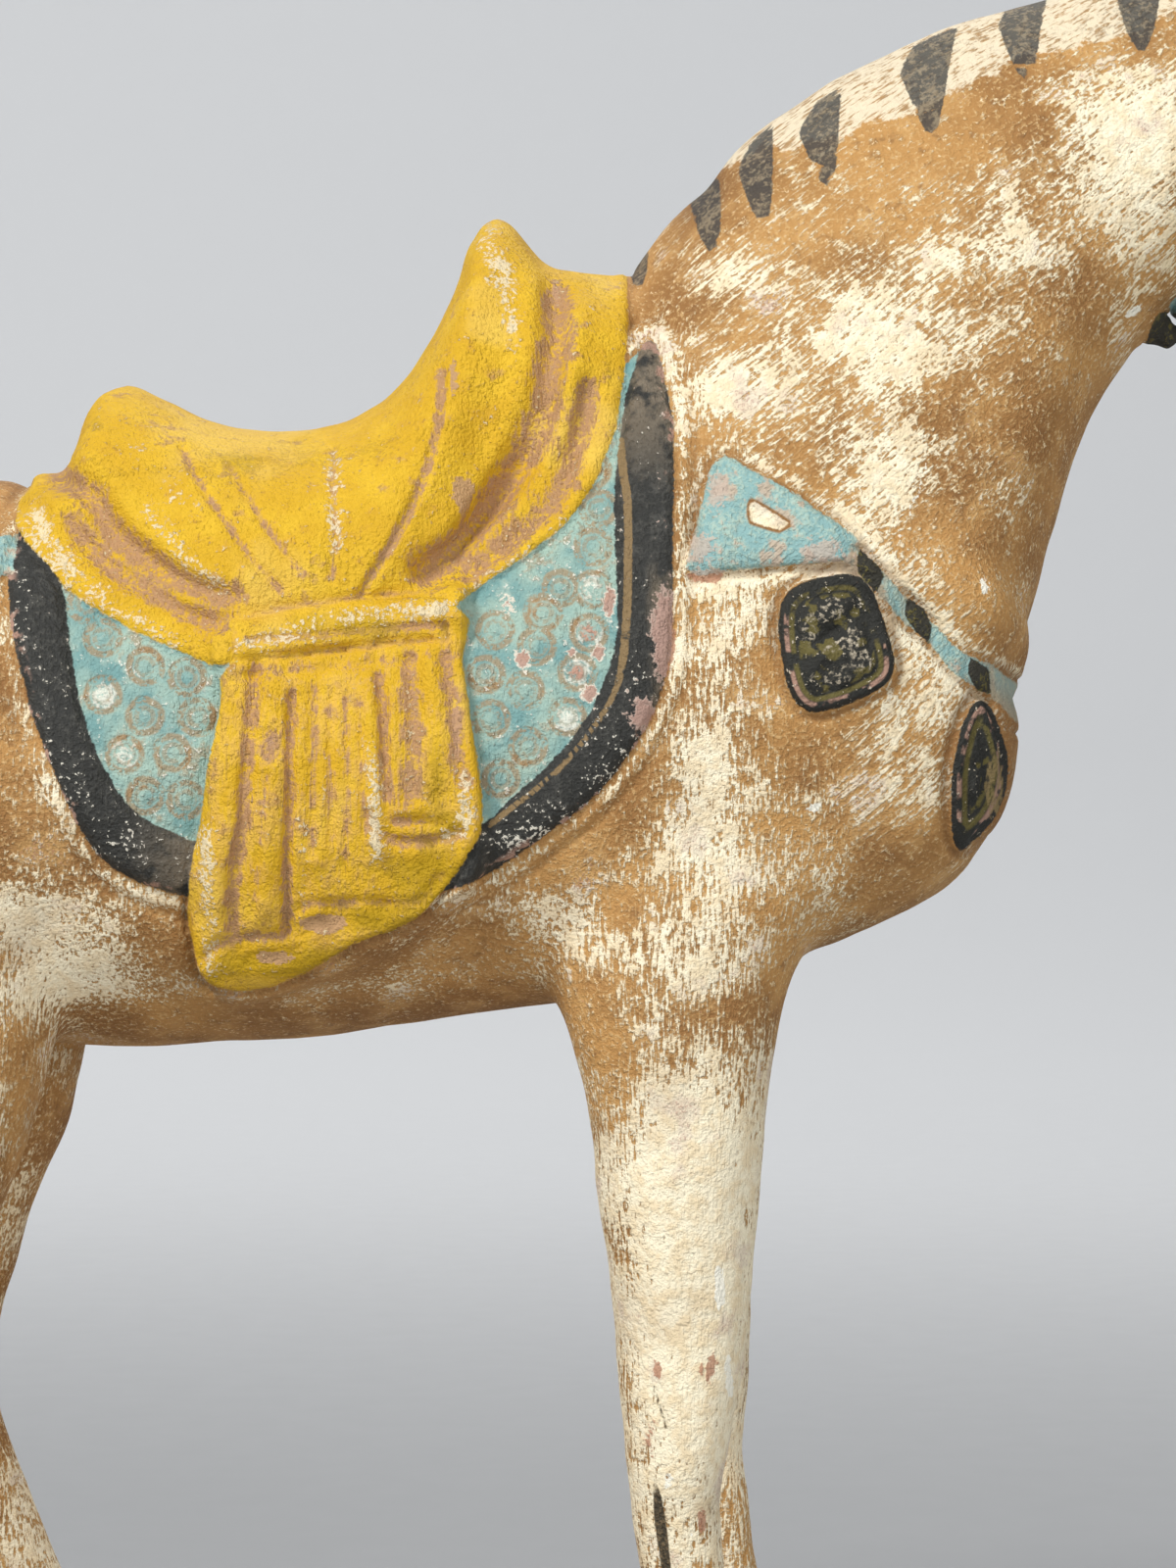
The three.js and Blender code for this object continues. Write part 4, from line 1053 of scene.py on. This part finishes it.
def dark_border(p):
    """The blanket's black border, with a tan line painted inside it, flecks and a rubbed rim."""
    faded = p.value("faded") * p.blotch.fade(-1.2, 0.5)
    stripe = (p.value("stripe") + p.grain * 0.5).wane(0.4, 1.8)
    chipped = p.grain * 0.9 + p.mottle * 0.5 + p.patch * 0.3 + p.value("flecked") * 0.95
    rubbed_rim = p.value("border").wane(2.0, 12.0) * p.blotch.fade(0.35, 0.9)
    return p.coats(
        p.mix(p.coarse.fade(-0.5, 1.4), (50, 50, 47), (76, 75, 70)),
        (faded, (140, 126, 106)),
        (stripe * 0.8, (150, 124, 84)),
        (chipped.fade(1.25, 1.45), (226, 220, 204)),
        (rubbed_rim, (178, 142, 124)),
    )


def blanket(p, body, in_border):
    bared = p.mix(p.bare, (232, 222, 204), (190, 150, 132))
    blue = p.mix(p.edged * 0.9, stamped_field(p), bared)
    black = p.mix(p.edged * 0.9, dark_border(p), p.mix(0.8, bared, (182, 148, 134)))
    return p.mix(in_border, body, p.mix(p.area("field", 0.7, -1.0, 1.0), black, blue))


def harness(p, body):
    """Blue straps with the breast plate, black bosses and pendants worn to olive, and dark blocks, with
    painted shade in the straps' hollows and painted highlights on the pendants' raised lumps.
    """
    hole = p.value("hole")
    strap = p.coats(
        p.mix(p.coarse.fade(-0.9, 1.1), (140, 178, 176), (176, 200, 186)),
        (p.blotch.fade(0.6, 1.3) * 0.75, (206, 176, 150)),
        # painted shade in the strap's carved hollows
        (p.hollow_shade * 0.7, (160, 128, 92)),
        (p.edged * 0.75, (198, 178, 162)),
        (hole.fade(-5.0, -2.0), (150, 108, 62)),
        ((hole + p.grain * 0.8).fade(-1.5, 1.0), p.cream),
    )
    inward = p.value("pendant")
    olive_ring = p.blotch.fade(-1.0, 0.1) * (inward.fade(9.5, 12.0) * inward.wane(14.5, 17.5))
    swirl = (p.noise(0.0034, 1, 0.4) + p.grain * 0.3).fade(0.15, 0.7)
    olive = p.math("MAXIMUM", olive_ring, swirl * inward.fade(17.0, 21.0))
    rosy = inward.fade(4.5, 6.5) * inward.wane(9.0, 11.5)
    # Painted highlight: lighter specks where the pendants' carved lumps stand highest.
    raised_highlight = p.value("depth").fade(0.35, 0.8) * inward.fade(16.0, 20.0)
    pale = (p.value("worn") + p.mottle * 0.12).fade(0.3, 0.45)
    boss = p.coats(
        p.mix(olive * 0.8, (48, 48, 44), (112, 102, 54)),
        (rosy * (p.patch + p.mottle * 0.4).fade(0.0, 0.4), (172, 136, 118)),
        (raised_highlight * p.grain.fade(-0.2, 0.9), (186, 174, 152)),
        ((p.grain + p.mottle * 0.5).fade(1.05, 1.35), (206, 194, 172)),
        (pale * (p.upright + p.mottle * 0.8).fade(-0.9, 0.1) * 0.85, (146, 126, 84)),
    )
    block = p.mix(p.coarse.fade(0.1, 1.0), (56, 54, 46), (104, 96, 54))
    return p.coats(
        body,
        (p.area("blue", 0.9, -1.2, 1.0), strap),
        (p.area("pendant", 0.5, -0.8, 0.8), boss),
        (p.area("block", 0.5, -0.8, 0.8), block),
    )


def yellow_cloth(p):
    """The yellow of cover, band and fall, rubbed on its ridges, with painted shade in its folds and hollows
    and some darker blotches.
    """
    on_fall = p.value("fall").fade(0.0, 6.0) * (p.upright + p.mottle + p.patch).fade(-0.9, 0.9)
    # Painted shade along the grooves and in the carved hollows, with random darker blotches added.
    folds = (p.value("dull") + p.upright * 0.18 + p.mottle * 0.20).fade(0.40, 0.80)
    dull = p.math("MINIMUM", p.hollow_shade * 0.9 + p.blotch.fade(0.9, 1.9) * 0.6 + folds, 1.0)
    aged = (p.value("olive") + p.mottle * 0.14 + p.patch * 0.12).fade(0.25, 0.7)
    near_rub = p.value("rubbed").wane(2.0, 17.0)
    chafed = near_rub * 0.85 + p.value("worn") * 0.95 + p.grain * 0.75 + p.mottle * 0.42
    pinhole = (p.speck + p.grain * 0.6).fade(1.45, 1.7)
    return p.coats(
        p.mix(p.patch.fade(-0.8, 0.9), (214, 168, 30), (226, 182, 40)),
        (p.mottle.fade(0.1, 1.2) * 0.45, (206, 156, 42)),
        (p.cloud.fade(0.3, 1.1) * 0.35, (240, 206, 110)),
        (on_fall * 0.55, (220, 174, 84)),
        # painted shade in folds and hollows, with darker blotches
        (dull * p.coarse.fade(-1.9, 0.4), (182, 140, 98)),
        ((p.upright + p.mottle).fade(0.9, 2.0) * 0.5, (190, 142, 66)),
        (aged * 0.8, (182, 146, 8)),
        (p.bare * 0.85, (186, 146, 112)),
        (chafed.fade(0.72, 1.0) * 0.5, (204, 172, 120)),
        (chafed.fade(1.0, 1.35) * 0.75, (236, 222, 186)),
        (pinhole * 0.7, (150, 112, 50)),
    )


def painted_terracotta():
    p = FigurePaint("painted_terracotta")
    in_border = p.area("border", 0.7, -1.0, 1.0)
    on_cloth = p.area("yellow", 0.7, -1.2, 1.0)
    eye = p.value("eye") + p.ragged * 0.02
    body = p.coats(
        harness(p, blanket(p, hair_and_hooves(p, coat(p)), in_border)),
        (on_cloth, yellow_cloth(p)),
        (eye.wane(0.96, 1.08) * 0.75, (98, 76, 54)),
        (eye.wane(0.82, 0.92) * 0.8, (222, 204, 170)),
        (eye.wane(0.50, 0.62) * 0.9, (52, 46, 38)),
    )
    painted = p.math("MAXIMUM", on_cloth, in_border)
    p.bumped(p.slip * 0.55 + p.grain * 0.42 + p.mottle * 0.45 + p.speck * 0.16 + p.stroke * 0.22, 0.00028)
    return p.finish(body, 0.80 + p.grain * 0.05 + p.slip * 0.06 + painted * -0.10, 0.32)


def bare_clay():
    p = Paint("bare_clay")
    cloud = p.noise(0.026, 4)
    patch = p.noise(0.008, 4)
    mottle = p.noise(0.0030, 4, 0.6)
    grain = p.noise(0.0009, 3, 0.65)
    clay = p.coats(
        p.mix(cloud.fade(-0.9, 0.9), (150, 112, 72), (190, 148, 102)),
        (patch.fade(0.2, 1.2) * 0.5, (126, 92, 60)),
        ((patch + mottle * 0.6 + grain * 0.5).fade(0.35, 1.2) * 0.7, (226, 208, 174)),
        ((p.value("edge") + mottle * 0.4).fade(0.5, 1.0) * 0.6, (208, 172, 128)),
    )
    p.bumped(mottle * 0.6 + grain * 0.5, 0.00025)
    return p.finish(clay, 0.86 + grain * 0.05, 0.25)


def studio_grey():
    """The plain surround, with painted shade: a little darker close to the figure."""
    p = Paint("studio_grey")
    x, y, _ = p.parts(p.object)
    paper = p.noise(0.02, 2) * 0.02
    # painted shade on the floor around the figure: darker near the middle, paler towards the wall
    grey = p.mix((p.length(x, y) + paper).fade(0.2, 2.6), (166, 167, 168), (230, 231, 232))
    return p.finish(grey, 0.95, 0.1)


# Studio

def surround():
    """A round floor that curves up into a wall on every side."""
    flat_radius, bend, top, turns, around = 2.1, 2.4, 4.8, 24, 96
    profile = [(0.4, 0.0), (1.2, 0.0), (flat_radius, 0.0)]
    for i in range(1, turns + 1):
        angle = math.pi / 2 * i / turns
        profile.append((flat_radius + bend * math.sin(angle), bend * (1 - math.cos(angle))))
    profile.append((flat_radius + bend, top))
    points = [(0, 0, 0)]
    for reach, z in profile:
        for k in range(around):
            angle = 2 * math.pi * k / around
            points.append((reach * math.cos(angle), reach * math.sin(angle), z))
    faces = [(0, 1 + k, 1 + (k + 1) % around) for k in range(around)]
    for i in range(len(profile) - 1):
        for k in range(around):
            a, b = 1 + i * around + k, 1 + i * around + (k + 1) % around
            faces.append((a, a + around, b + around, b))
    mesh = bpy.data.meshes.new("surround")
    mesh.from_pydata(points, [], faces)
    mesh.shade_smooth()
    mesh.materials.append(studio_grey())
    floor = bpy.data.objects.new("surround", mesh)
    bpy.context.scene.collection.objects.link(floor)


def soft_light(name, place, aim, size, power):
    light = bpy.data.lights.new(name, "AREA")
    light.shape = "DISK"
    light.size = size
    light.energy = power
    lamp = bpy.data.objects.new(name, light)
    lamp.location = place
    lamp.rotation_euler = (Vector(aim) - Vector(place)).to_track_quat("-Z", "Y").to_euler()
    bpy.context.scene.collection.objects.link(lamp)


def studio():
    surround()
    middle = (0.03, 0.0, 0.28)
    soft_light("key", (-0.95, -1.25, 1.60), middle, 0.7, 35)
    soft_light("fill", (1.1, -2.4, 0.90), middle, 1.2, 22)
    soft_light("back", (0.3, 1.3, 1.9), middle, 1.2, 15)
    soft_light("wall", (-0.5, 1.3, 2.5), (-0.4, 4.2, 1.7), 1.4, 33)
    world = bpy.data.worlds.new("studio")
    world.use_nodes = True
    sky = world.node_tree.nodes["Background"]
    sky.inputs["Color"].default_value = (0.95, 0.97, 1.0, 1)
    sky.inputs["Strength"].default_value = 0.28
    bpy.context.scene.world = world
    bpy.context.scene.view_settings.view_transform = "Standard"


def camera():
    lens = bpy.data.cameras.new("camera")
    lens.sensor_width = 36
    lens.lens = 90
    eye = bpy.data.objects.new("camera", lens)
    eye.location = EYE
    eye.rotation_euler = (math.radians(90), 0, 0)
    bpy.context.scene.collection.objects.link(eye)
    bpy.context.scene.camera = eye


camera()
studio()

horse = carved_horse()
horse.data.materials.append(painted_terracotta())
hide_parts("horse")
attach(horse, "root")

slab = worn_slab()
slab.data.materials.append(bare_clay())
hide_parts("base")
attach(slab, "root")
